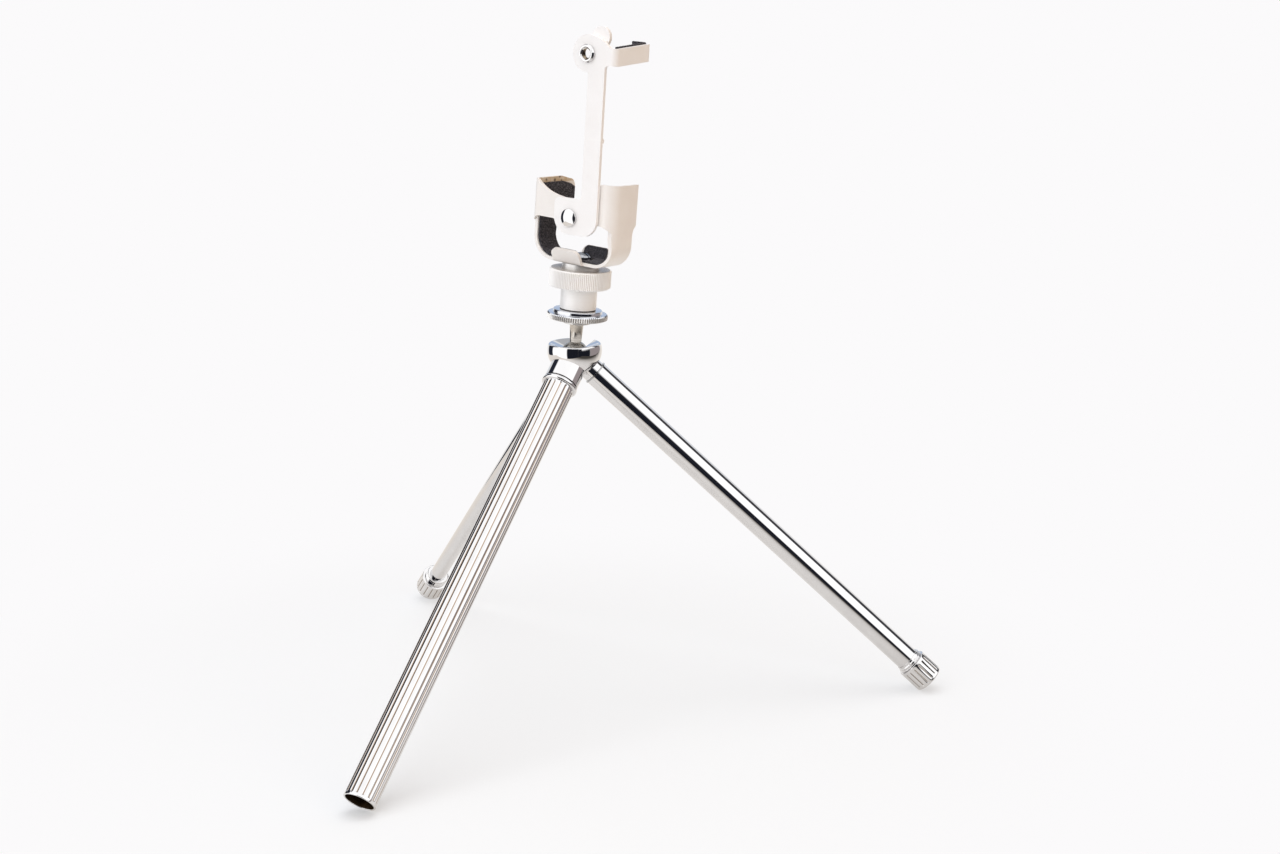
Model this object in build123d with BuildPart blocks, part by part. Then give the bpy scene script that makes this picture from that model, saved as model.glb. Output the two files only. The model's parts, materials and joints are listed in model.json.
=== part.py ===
"""Pocket tripod with a ball head and a small camera clamp, standing as it is used.

Lengths are in millimetres. The floor is z = 0, and the front of the clamp faces -Y.
"""

import os
from math import acos, asin, atan2, cos, hypot, radians, sin, sqrt, tan

from build123d import *

os.makedirs("parts", exist_ok=True)

# Fits
RUN = 0.05  # radial gap of a shaft that turns or slides in a hole
SEAT = 0.02  # gap between pieces that are pressed, glued or clamped together
FREE = 0.2  # gap where two pieces only pass each other

# Stance
HEAD_HEIGHT = 111.9  # floor to ball centre
LEG_TURN = -83.1  # where the fluted leg points, counted from +X
LEG_SPREAD = 120.0
LEAN = 4.3  # stem away from upright
LEAN_TURN = 38.5  # where the stem leans to

# Ball head
BALL_R = 4.3
BARREL_R = 8.6
RIM_R = 8.25
RIM_HEIGHT = 3.5
RIM_WALL = 0.65
RIM_ROUND = 0.6
BELLY_R = 7.6
BELLY_DROP = 2.6
BASE_WALL = 1.85  # metal under the socket
SLOT_FLARE = 12.0  # how far the stem may roll to each side of the slot
THROAT_ANGLE = 30.0  # height of the socket's mouth, seen from the ball centre
BOSS_WALL = 0.85
FLUTED_BOSS_END = 11.6
SIDE_WALL = 0.4  # metal between the fluted leg's bore and a stud's hole
STUD_GRIP = 3.1  # depth of a stud's hole
WASHER_ROOM = 0.5  # between a side boss and its tube
SIDE_BOSS_STEP = 0.2  # a side boss is this much slimmer than its tube

# Legs, measured along each leg from the ball centre; the tubes nest in one another
FLUTED_REACH = 160.0
MIDDLE_REACH = 157.8
THIN_REACH = 156.8
THIN_R = 2.8
THIN_WALL = 0.4
THIN_NEST = 0.6  # radial room of the thin leg inside the middle one
MIDDLE_WALL = 0.5
MIDDLE_NEST = 0.55  # radial room of the middle leg inside the fluted one
FLUTED_WALL = 0.55
TUBE_TOP_WALL = 3.0  # solid top of a plain tube, which holds its stud
FLUTED_TOP_WALL = 1.8  # solid top of the fluted tube, which holds the plug's spigot
SPIGOT_WALL = 1.5  # metal of the fluted tube's top around the spigot
SHOULDER = 0.15  # the fluted leg's plug is this much wider than the tube's bore
MIDDLE_STUD_R = 2.0
THIN_STUD_R = 1.5
WASHER_OVERHANG = 0.25
REEDS = 16
GROOVE_R = 0.45
GROOVE_DEPTH = 0.28
PLAIN_RIM = 0.9
COLLAR_WALL = 0.73
COLLAR_LENGTH = 1.5
COLLAR_EDGE = 0.4
PAD_LENGTH = 3.8
PAD_FLOOR = 2.05  # thickness of the pad behind its cup
CAP_LENGTH = 8.2
MIDDLE_NECK_LENGTH = 2.0
THIN_NECK_LENGTH = 2.4
SOCKET_DEPTH = 5.0  # how far a plain tube goes into its foot cap

# Sizes that follow from the fits
SOCKET_R = BALL_R + RUN
BASE_DROP = SOCKET_R + BASE_WALL
PAD_BACK = SOCKET_R + PAD_FLOOR
THIN_BORE_R = THIN_R - THIN_WALL
MIDDLE_BORE_R = THIN_R + THIN_NEST
MIDDLE_R = MIDDLE_BORE_R + MIDDLE_WALL
FLUTED_BORE_R = MIDDLE_R + MIDDLE_NEST
FOOT_R = FLUTED_BORE_R + FLUTED_WALL
BOSS_BORE_R = max(FLUTED_BORE_R + SHOULDER + RUN, SOCKET_R)  # lets the pad through to the ball
FLUTED_BOSS_R = BOSS_BORE_R + BOSS_WALL
COLLAR_R = FOOT_R + SEAT + COLLAR_WALL

# Stem and platform, stacked along the stem from the ball
STEM_LENGTH = 5.6  # ball's surface to the disc's hub
STEM_FOOT_R = 1.6
STEM_TOP_R = 1.9
STUD_R = 3.175
STUD_LENGTH = 9.4
STUD_TIP = 0.5
HUB_START = BALL_R + STEM_LENGTH
HUB_R = 4.4
HUB_HEIGHT = 1.4
DISC_R = 9.55
DISC_HEIGHT = 1.9
STEP_R = 7.75
STEP_HEIGHT = 1.2
SHIM_R = 5.6
SHIM_HEIGHT = 0.3
KNURL_DEPTH = 0.28
DISC_TEETH = 80
RING_TEETH = 100

# Sleeve and swivel of the clamp
SLEEVE_R = 5.7
SLEEVE_HEIGHT = 6.8
INSERT_R = 4.3
INSERT_LENGTH = 4.6
INSERT_INSET = 0.2
SPIGOT_R = 7.2
SPIGOT_HEIGHT = 1.5
RING_R = 9.75
RING_HEIGHT = 5.8
RING_TOP = 2.1  # thickness of the ring above the neck's flange
NECK_R = 5.85
NECK_HEIGHT = 1.8
SCREW_R = 2.0
SCREW_LENGTH = 5.0
SCREW_HEAD_R = 3.15
SCREW_HEAD_HEIGHT = 1.85
SCREW_SLOT = 0.8
SPRING_WASHER_R = 3.6
SPRING_WASHER_HEIGHT = 0.4

# Saddle, in the clamp's own directions: across, from front to back, and along the stem
SHEET = 1.0
SADDLE_HALF = 15.5
STRIP_HALF = 4.7
BAND_HALF = 6.2
LEFT_WALL_BACK = 12.9
CORNER_R = 6.2
BEND_R = 3.0
FOLD_R = 0.2
LEFT_HEIGHT = 24.9
RIGHT_HEIGHT = 26.2
DIP_HEIGHT = 20.3
DIP_ENDS = (-0.93, 0.68)  # ends of the plate's dipped top edge, as shares of the half width
DIP_EDGE = [(-0.65, 0.35), (-0.17, 0.0), (0.1, 0.0), (0.42, 0.4)]  # shares of half width and of rise
PLATE_FOOT = 13.4  # lower edge of the front plate above the saddle's bottom
LOBE_FOOT = 10.2
LIP_HEIGHT = 4.3
LIP_FLARE = 25.0
LIP_WIDTH = 11.0
LIP_SHIFT = 1.2
LIP_ROUND = 2.2
FELT = 0.6
PLATE_FELT = 0.45
FELT_MARGIN = 0.5  # painted edge left bare around the felt
WING_FOOT = 16.9  # lower back corner of the left wall above the saddle's bottom
WING_ROUND = 2.6  # round back corner of the left wall
WING_BOW = 0.4

# Arm, measured from its rivet
RIVET_ACROSS = 0.1
RIVET_UP = 14.65
RIVET_R = 1.5
RIVET_HEAD_R = 2.85
RIVET_HEAD_HEIGHT = 1.45
RIVET_TAIL_R = 2.4
RIVET_TAIL_HEIGHT = 0.45
ARM_GAP = 0.3  # washer between plate and arm
ARM_SHEET = 1.1
ARM_REST = 1.05
FOOT_LEFT = -6.1
FOOT_TOP = 6.0
FOOT_BOTTOM = -5.2
FOOT_ROUND = 5.4
BAR_LEFT = 4.15
BAR_RIGHT = 10.45
BUSH_ACROSS = 3.7
BUSH_UP = 50.5
BUSH_R = 2.85
BUSH_HOLE_R = 1.7
BUSH_SHANK_R = 2.2
BUSH_HEIGHT = 1.2
BUSH_EDGE = 0.25
ARM_HEAD_R = 5.7
CLAW_REACH = 14.2
CLAW_FOOT = 47.3
CLAW_HEIGHT = 5.3
CLAW_BACK = 10.7
CLAW_RISE = 1.4
CLAW_BEND_R = 0.9
HOOK_LENGTH = 7.0
HOOK_ROUND = 0.45  # share of the claw's height
CLAW_FELT = 0.8
CLAW_FELT_PROUD = 0.5
TAB_R = 3.3
TAB_ACROSS = 7.1
TAB_UP = 55.6
TAB_OFFSET = 1.7
RIB_UP = 24.6
RIB_R = 0.9
RIB_SINK = 0.25


def heading(turn, reach):
    """Direction of a leg whose foot rim just touches the floor."""
    splay = acos(HEAD_HEIGHT / hypot(reach, FOOT_R)) + atan2(FOOT_R, reach)
    return Vector(sin(splay) * cos(turn), sin(splay) * sin(turn), -cos(splay))


turns = [radians(LEG_TURN + LEG_SPREAD * number) for number in range(3)]
reaches = [FLUTED_REACH, MIDDLE_REACH, THIN_REACH]
headings = [heading(turn, reach) for turn, reach in zip(turns, reaches)]

# The stud holes start where they clear the fluted leg's bore, so steeper legs push them outward.
leg_angle = radians(min(headings[0].get_angle(way) for way in headings[1:]))
stud_clear = BOSS_BORE_R + SIDE_WALL + (MIDDLE_STUD_R + RUN) * cos(leg_angle)
side_hole_bottom = stud_clear / sin(leg_angle)
side_boss_end = side_hole_bottom + STUD_GRIP
tube_top = side_boss_end + WASHER_ROOM

# The feet set the outline on the floor, and its middle is the origin.
wide = [(way.X * reach, FOOT_R * sqrt(1 - way.X**2)) for way, reach in zip(headings, reaches)]
deep = [(way.Y * reach, FOOT_R * sqrt(1 - way.Y**2)) for way, reach in zip(headings, reaches)]
head_x = -(min(mid - half for mid, half in wide) + max(mid + half for mid, half in wide)) / 2
head_y = -(min(mid - half for mid, half in deep) + max(mid + half for mid, half in deep)) / 2

head = Plane(origin=(head_x, head_y, HEAD_HEIGHT))
fluted, middle, thin = [
    Plane(head.origin, x_dir=(-sin(turn), cos(turn), 0), z_dir=way) for turn, way in zip(turns, headings)
]
stem = Plane(head.location * Rot(0, 0, LEAN_TURN) * Rot(0, LEAN, 0) * Rot(0, 0, -LEAN_TURN))


def side_of(plane):
    """The plane through another plane's axis, with that axis upward."""
    return Plane(plane.origin, x_dir=plane.x_dir, z_dir=-plane.y_dir)


def near(sketch, across, along):
    """The corner of a sketch nearest to a point."""
    return sketch.vertices().sort_by_distance(Vertex(across, along))[0]


def turned(plane, outline):
    """A piece made on a lathe: its outline is (radius, distance along the axis)."""
    with BuildPart() as piece:
        with BuildSketch(side_of(plane)):
            with BuildLine():
                Polyline(*outline, close=True)
            make_face()
        revolve(axis=Axis(plane.origin, plane.z_dir))
    return piece


def crown(radius, foot, top):
    """Half-way point on the arc of a domed head, from its edge to its top."""
    rise = top - foot
    dome_r = (radius**2 + rise**2) / (2 * rise)
    half = asin(radius / dome_r) / 2
    return (dome_r * sin(half), top - dome_r * (1 - cos(half)))


def toothed(radius, teeth):
    """Outline of a straight knurl."""
    step = 360 / teeth
    tips = [(radius, number * step) for number in range(teeth)]
    roots = [(radius - KNURL_DEPTH, (number + 0.5) * step) for number in range(teeth)]
    both = [point for pair in zip(tips, roots) for point in pair]
    return [(reach * cos(radians(turn)), reach * sin(radians(turn))) for reach, turn in both]


def grooves(plane, start):
    """Ends of the grooves between the reeds of a tube or cap."""
    with BuildSketch(plane.offset(start)) as ends:
        with PolarLocations(FOOT_R + GROOVE_R - GROOVE_DEPTH, REEDS):
            Circle(GROOVE_R)
    return ends.sketch


# Ball head: one chromed body with a dished top, a slotted rim and three bosses.
throat_r = SOCKET_R * cos(radians(THROAT_ANGLE))
throat_height = SOCKET_R * sin(radians(THROAT_ANGLE))
pad_front = PAD_BACK - PAD_LENGTH
slot_way = Plane(
    head.origin,
    x_dir=(-sin(turns[0]), cos(turns[0]), 0),
    z_dir=(-cos(turns[0]), -sin(turns[0]), 0),
)
slot_up = 1 if slot_way.y_dir.Z > 0 else -1
slot_r = STEM_TOP_R + FREE
slot_depth = 2 * BARREL_R
slot_lift = 2 * RIM_HEIGHT
slot_half = slot_lift * tan(radians(SLOT_FLARE)) + slot_r / cos(radians(SLOT_FLARE))
slot_edge = (slot_r * cos(radians(SLOT_FLARE)), -slot_up * slot_r * sin(radians(SLOT_FLARE)))

with BuildPart() as head_block:
    with BuildSketch(side_of(head)) as barrel:
        with BuildLine():
            Line((0, RIM_HEIGHT), (RIM_R, RIM_HEIGHT))
            ThreePointArc((RIM_R, RIM_HEIGHT), (BARREL_R, RIM_HEIGHT / 4), (BELLY_R, -BELLY_DROP))
            ThreePointArc((BELLY_R, -BELLY_DROP), (BELLY_R * 0.66, -BASE_DROP * 0.84), (0, -BASE_DROP))
            Line((0, -BASE_DROP), (0, RIM_HEIGHT))
        make_face()
        fillet(near(barrel, RIM_R, RIM_HEIGHT), RIM_ROUND)
    revolve(axis=Axis(head.origin, head.z_dir))
    with BuildSketch(fluted):
        Circle(FLUTED_BOSS_R)
    extrude(amount=FLUTED_BOSS_END)
    with BuildSketch(middle):
        Circle(MIDDLE_R - SIDE_BOSS_STEP)
    extrude(amount=side_boss_end)
    with BuildSketch(thin):
        Circle(THIN_R - SIDE_BOSS_STEP)
    extrude(amount=side_boss_end)
    with BuildSketch(side_of(head)):
        with BuildLine():
            Polyline(
                (0, 2 * RIM_HEIGHT),
                (RIM_R - RIM_WALL, 2 * RIM_HEIGHT),
                (RIM_R - RIM_WALL, RIM_HEIGHT),
                (throat_r, throat_height),
                (0, throat_height),
                close=True,
            )
        make_face()
    revolve(axis=Axis(head.origin, head.z_dir), mode=Mode.SUBTRACT)
    with Locations(head.origin):
        Sphere(SOCKET_R, mode=Mode.SUBTRACT)
    with BuildSketch(fluted.offset(pad_front - FREE)):
        Circle(BOSS_BORE_R)
    extrude(amount=2 * FLUTED_BOSS_END, mode=Mode.SUBTRACT)
    with BuildSketch(middle.offset(side_hole_bottom)):
        Circle(MIDDLE_STUD_R + RUN)
    extrude(amount=side_boss_end, mode=Mode.SUBTRACT)
    with BuildSketch(thin.offset(side_hole_bottom)):
        Circle(THIN_STUD_R + RUN)
    extrude(amount=side_boss_end, mode=Mode.SUBTRACT)
    with BuildSketch(slot_way):
        with BuildLine():
            ThreePointArc((-slot_edge[0], slot_edge[1]), (0, -slot_up * slot_r), slot_edge)
            Line(slot_edge, (slot_half, slot_up * slot_lift))
            Line((slot_half, slot_up * slot_lift), (-slot_half, slot_up * slot_lift))
            Line((-slot_half, slot_up * slot_lift), (-slot_edge[0], slot_edge[1]))
        make_face()
    extrude(amount=slot_depth, mode=Mode.SUBTRACT)

with BuildPart() as ball:
    with Locations(head.origin):
        Sphere(BALL_R)

# The stem ends on the ball and carries the camera screw.
stud_start = HUB_START + HUB_HEIGHT / 2
stud_end = stud_start + STUD_LENGTH
with BuildPart() as ball_stem:
    with BuildSketch(side_of(stem)):
        with BuildLine():
            Polyline(
                (0, BALL_R / 2),
                (STEM_FOOT_R, BALL_R / 2),
                (STEM_FOOT_R, BALL_R),
                (STEM_TOP_R, HUB_START),
                (STUD_R, stud_start),
                (STUD_R, stud_end - STUD_TIP),
                (STUD_R - STUD_TIP, stud_end),
                (0, stud_end),
                close=True,
            )
        make_face()
    revolve(axis=Axis(stem.origin, stem.z_dir))
    with Locations(stem.origin):
        Sphere(BALL_R + SEAT, mode=Mode.SUBTRACT)

# Platform disc: a knurled lock nut on the camera screw.
disc_start = HUB_START + HUB_HEIGHT
step_start = disc_start + DISC_HEIGHT
step_end = step_start + STEP_HEIGHT
with BuildPart() as platform_disc:
    with BuildSketch(stem.offset(HUB_START)):
        Circle(HUB_R)
    extrude(amount=HUB_HEIGHT)
    with BuildSketch(stem.offset(disc_start)):
        with BuildLine():
            Polyline(*toothed(DISC_R, DISC_TEETH), close=True)
        make_face()
    extrude(amount=DISC_HEIGHT)
    with BuildSketch(stem.offset(step_start)):
        Circle(STEP_R)
    extrude(amount=STEP_HEIGHT)
    with BuildSketch(stem.offset(HUB_START)):
        Circle(STUD_R + RUN)
    extrude(amount=step_end - HUB_START, mode=Mode.SUBTRACT)

sleeve_start = step_end + SHIM_HEIGHT
platform_washer = turned(
    stem,
    [
        (STUD_R + FREE, step_end + SEAT),
        (SHIM_R, step_end + SEAT),
        (SHIM_R, sleeve_start - SEAT),
        (STUD_R + FREE, sleeve_start - SEAT),
    ],
)

# Lock of the ball: the fluted leg's plug pushes a cupped pad against the ball.
with BuildPart() as thrust_pad:
    with BuildSketch(fluted.offset(pad_front)):
        Circle(SOCKET_R - FREE)
    extrude(amount=PAD_LENGTH)
    with Locations(head.origin):
        Sphere(SOCKET_R, mode=Mode.SUBTRACT)

fluted_top = FLUTED_BOSS_END + FREE
plug_r = BOSS_BORE_R - RUN
plug_start = PAD_BACK + SEAT
plug_end = fluted_top + FLUTED_TOP_WALL
spigot_r = FLUTED_BORE_R - SPIGOT_WALL
fluted_leg_plug = turned(
    fluted,
    [
        (0, plug_start),
        (plug_r, plug_start),
        (plug_r, fluted_top - SEAT),
        (spigot_r, fluted_top - SEAT),
        (spigot_r, plug_end),
        (0, plug_end),
    ],
)
collar_end = fluted_top + COLLAR_LENGTH
fluted_leg_collar = turned(
    fluted,
    [
        (FOOT_R + SEAT, fluted_top),
        (COLLAR_R - COLLAR_EDGE, fluted_top),
        (COLLAR_R, fluted_top + COLLAR_EDGE),
        (COLLAR_R, collar_end - COLLAR_EDGE),
        (COLLAR_R - COLLAR_EDGE, collar_end),
        (FOOT_R + SEAT, collar_end),
    ],
)
with BuildPart() as fluted_leg_tube:
    with BuildSketch(fluted.offset(fluted_top)):
        Circle(FOOT_R)
        Circle(spigot_r + SEAT, mode=Mode.SUBTRACT)
    extrude(amount=FLUTED_REACH - fluted_top)
    with BuildSketch(fluted.offset(plug_end)):
        Circle(FLUTED_BORE_R)
    extrude(amount=FLUTED_REACH, mode=Mode.SUBTRACT)
    groove_start = collar_end + COLLAR_EDGE
    groove_length = FLUTED_REACH - PLAIN_RIM - groove_start
    extrude(grooves(fluted, groove_start), amount=groove_length, mode=Mode.SUBTRACT)


def leg_stud(plane, stud_r):
    """Screw stud held in the solid top of a plain tube."""
    tip = side_hole_bottom + FREE
    tail = tube_top + TUBE_TOP_WALL
    return turned(plane, [(0, tip), (stud_r, tip), (stud_r, tail), (0, tail)])


def leg_washer(plane, stud_r, tube_radius):
    """Thin washer between a boss and its tube."""
    inner = stud_r + RUN
    outer = tube_radius + WASHER_OVERHANG
    low = side_boss_end + RUN
    high = tube_top - RUN
    return turned(plane, [(inner, low), (outer, low), (outer, high), (inner, high)])


def leg_tube(plane, outer, inner, stud_r, end):
    """Plain tube from the head to the bottom of its foot's socket, with a solid top for its stud."""
    hole_r = stud_r + SEAT
    bore_start = tube_top + TUBE_TOP_WALL
    return turned(
        plane,
        [
            (hole_r, tube_top),
            (outer, tube_top),
            (outer, end),
            (inner, end),
            (inner, bore_start),
            (hole_r, bore_start),
        ],
    )


def foot_cap(plane, reach, neck_r, neck_length, outline):
    """Reeded foot with a threaded neck, bored out by a further outline."""
    shoulder = reach - CAP_LENGTH
    with BuildPart() as cap:
        with BuildSketch(plane.offset(shoulder)):
            Circle(FOOT_R)
        extrude(amount=CAP_LENGTH)
        with BuildSketch(plane.offset(shoulder - neck_length)):
            Circle(neck_r)
        extrude(amount=neck_length)
        with BuildSketch(side_of(plane)):
            with BuildLine():
                Polyline(*outline, close=True)
            make_face()
        revolve(axis=Axis(plane.origin, plane.z_dir), mode=Mode.SUBTRACT)
        groove_ends = grooves(plane, shoulder + PLAIN_RIM)
        extrude(groove_ends, amount=CAP_LENGTH - 2 * PLAIN_RIM, mode=Mode.SUBTRACT)
    return cap


middle_leg_stud = leg_stud(middle, MIDDLE_STUD_R)
middle_leg_washer = leg_washer(middle, MIDDLE_STUD_R, MIDDLE_R)
middle_tube_end = MIDDLE_REACH - CAP_LENGTH + SOCKET_DEPTH
middle_leg_tube = leg_tube(middle, MIDDLE_R, MIDDLE_BORE_R, MIDDLE_STUD_R, middle_tube_end)
middle_neck_r = FLUTED_BORE_R - RUN
thin_neck_r = MIDDLE_R + 2 * RUN
socket = MIDDLE_R + SEAT
middle_leg_foot = foot_cap(
    middle,
    MIDDLE_REACH,
    middle_neck_r,
    MIDDLE_NECK_LENGTH,
    [
        (0, tube_top),
        (socket, tube_top),
        (socket, middle_tube_end),
        (thin_neck_r + RUN, middle_tube_end),
        (thin_neck_r + RUN, MIDDLE_REACH + CAP_LENGTH),
        (0, MIDDLE_REACH + CAP_LENGTH),
    ],
)

thin_leg_stud = leg_stud(thin, THIN_STUD_R)
thin_leg_washer = leg_washer(thin, THIN_STUD_R, THIN_R)
thin_tube_end = THIN_REACH - CAP_LENGTH + SOCKET_DEPTH
thin_leg_tube = leg_tube(thin, THIN_R, THIN_BORE_R, THIN_STUD_R, thin_tube_end)
thin_leg_foot = foot_cap(
    thin,
    THIN_REACH,
    thin_neck_r,
    THIN_NECK_LENGTH,
    [(0, tube_top), (THIN_R + SEAT, tube_top), (THIN_R + SEAT, thin_tube_end), (0, thin_tube_end)],
)

# Sleeve: screws the clamp onto the stud and turns on the neck.
ring_start = sleeve_start + SLEEVE_HEIGHT
ring_end = ring_start + RING_HEIGHT
spigot_end = ring_start + SPIGOT_HEIGHT
insert_start = sleeve_start + INSERT_INSET
insert_end = insert_start + INSERT_LENGTH
sleeve_nut = turned(
    stem,
    [
        (STUD_R + RUN, insert_start),
        (INSERT_R, insert_start),
        (INSERT_R, insert_end),
        (STUD_R + RUN, insert_end),
    ],
)
clamp_sleeve = turned(
    stem,
    [
        (INSERT_R + SEAT, sleeve_start),
        (SLEEVE_R, sleeve_start),
        (SLEEVE_R, ring_start),
        (SPIGOT_R - SEAT, ring_start),
        (SPIGOT_R - SEAT, spigot_end),
        (STUD_R + 2 * FREE, spigot_end),
        (STUD_R + 2 * FREE, insert_end + SEAT),
        (INSERT_R + SEAT, insert_end + SEAT),
    ],
)
with BuildPart() as knurled_ring:
    with BuildSketch(stem.offset(ring_start)):
        with BuildLine():
            Polyline(*toothed(RING_R, RING_TEETH), close=True)
        make_face()
    extrude(amount=RING_HEIGHT)
    with BuildSketch(stem.offset(ring_start)):
        Circle(SPIGOT_R)
    extrude(amount=RING_HEIGHT - RING_TOP, mode=Mode.SUBTRACT)
    with BuildSketch(stem.offset(ring_start)):
        Circle(NECK_R + RUN)
    extrude(amount=RING_HEIGHT, mode=Mode.SUBTRACT)

saddle_foot = ring_end + NECK_HEIGHT
saddle_floor = saddle_foot + SHEET
flange_end = ring_end - RING_TOP - RUN
neck_bush = turned(
    stem,
    [
        (SCREW_R + SEAT, spigot_end + RUN),
        (SPIGOT_R - 2 * RUN, spigot_end + RUN),
        (SPIGOT_R - 2 * RUN, flange_end),
        (NECK_R, flange_end),
        (NECK_R, saddle_foot - SEAT),
        (SCREW_R + SEAT, saddle_foot - SEAT),
    ],
)
washer_end = saddle_floor + SPRING_WASHER_HEIGHT
swivel_washer = turned(
    stem,
    [
        (SCREW_R + RUN, saddle_floor + SEAT),
        (SPRING_WASHER_R, saddle_floor + SEAT),
        (SPRING_WASHER_R, washer_end),
        (SCREW_R + RUN, washer_end),
    ],
)
head_start = washer_end + SEAT
head_end = head_start + SCREW_HEAD_HEIGHT
screw_edge = head_start + SCREW_HEAD_HEIGHT / 3
with BuildPart() as clamp_screw:
    with BuildSketch(side_of(stem)):
        with BuildLine():
            Polyline(
                (0, head_end),
                (0, saddle_foot - SCREW_LENGTH),
                (SCREW_R, saddle_foot - SCREW_LENGTH),
                (SCREW_R, head_start),
                (SCREW_HEAD_R, head_start),
                (SCREW_HEAD_R, screw_edge),
            )
            ThreePointArc(
                (SCREW_HEAD_R, screw_edge), crown(SCREW_HEAD_R, screw_edge, head_end), (0, head_end)
            )
        make_face()
    revolve(axis=Axis(stem.origin, stem.z_dir))
    with BuildSketch(stem.offset(head_end - SCREW_SLOT)):
        Rectangle(3 * SCREW_HEAD_R, SCREW_SLOT)
    extrude(amount=2 * SCREW_SLOT, mode=Mode.SUBTRACT)

# Saddle: one bent sheet, a U strip below and a band with a front plate above.
front = side_of(stem)
flank = Plane(stem.origin, x_dir=stem.y_dir, z_dir=stem.x_dir)
inner_half = SADDLE_HALF - SHEET
left_top = saddle_foot + LEFT_HEIGHT
right_top = saddle_foot + RIGHT_HEIGHT
dip = saddle_foot + DIP_HEIGHT
dip_left, dip_right = [share * SADDLE_HALF for share in DIP_ENDS]
dip_edge = [
    (across * SADDLE_HALF, dip + rise * ((left_top if across < 0 else right_top) - dip))
    for across, rise in DIP_EDGE
]
plate_foot = saddle_foot + PLATE_FOOT
lobe_foot = saddle_foot + LOBE_FOOT
rivet_up = saddle_foot + RIVET_UP
wing_foot = saddle_foot + WING_FOOT
wing_top = left_top - SHEET - WING_ROUND
wing_bend = LEFT_WALL_BACK - WING_ROUND
bend_back = BAND_HALF - SHEET - BEND_R
beyond = 2 * SADDLE_HALF


with BuildPart() as lip:
    lean = radians(LIP_FLARE)
    lip_length = LIP_HEIGHT / cos(lean)
    lip_foot = STRIP_HALF + 0.9 * SHEET
    top = (-lip_foot - lip_length * sin(lean), saddle_foot + LIP_HEIGHT)
    inner_top = (top[0] + SHEET * cos(lean), top[1] + SHEET * sin(lean))
    inner_foot = (
        inner_top[0] + (inner_top[1] - saddle_floor) * tan(lean),
        saddle_floor,
    )
    with BuildSketch(flank.offset(-LIP_SHIFT - LIP_WIDTH / 2)) as lip_side:
        with BuildLine():
            Polyline(
                (-STRIP_HALF + SHEET, saddle_foot),
                (-lip_foot, saddle_foot),
                top,
                inner_top,
                inner_foot,
                (-STRIP_HALF + SHEET, saddle_floor),
                close=True,
            )
        make_face()
        fillet(near(lip_side, -lip_foot, saddle_foot), SHEET)
    extrude(amount=LIP_WIDTH)
    lip_top = lip.faces().sort_by(Axis(stem.origin, stem.z_dir))[-1]
    fillet(lip_top.edges().sort_by(SortBy.LENGTH)[:2], LIP_ROUND)
stem_axis = Axis(stem.origin, stem.z_dir)
back_lip = lip.part.rotate(stem_axis, 180)

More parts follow.
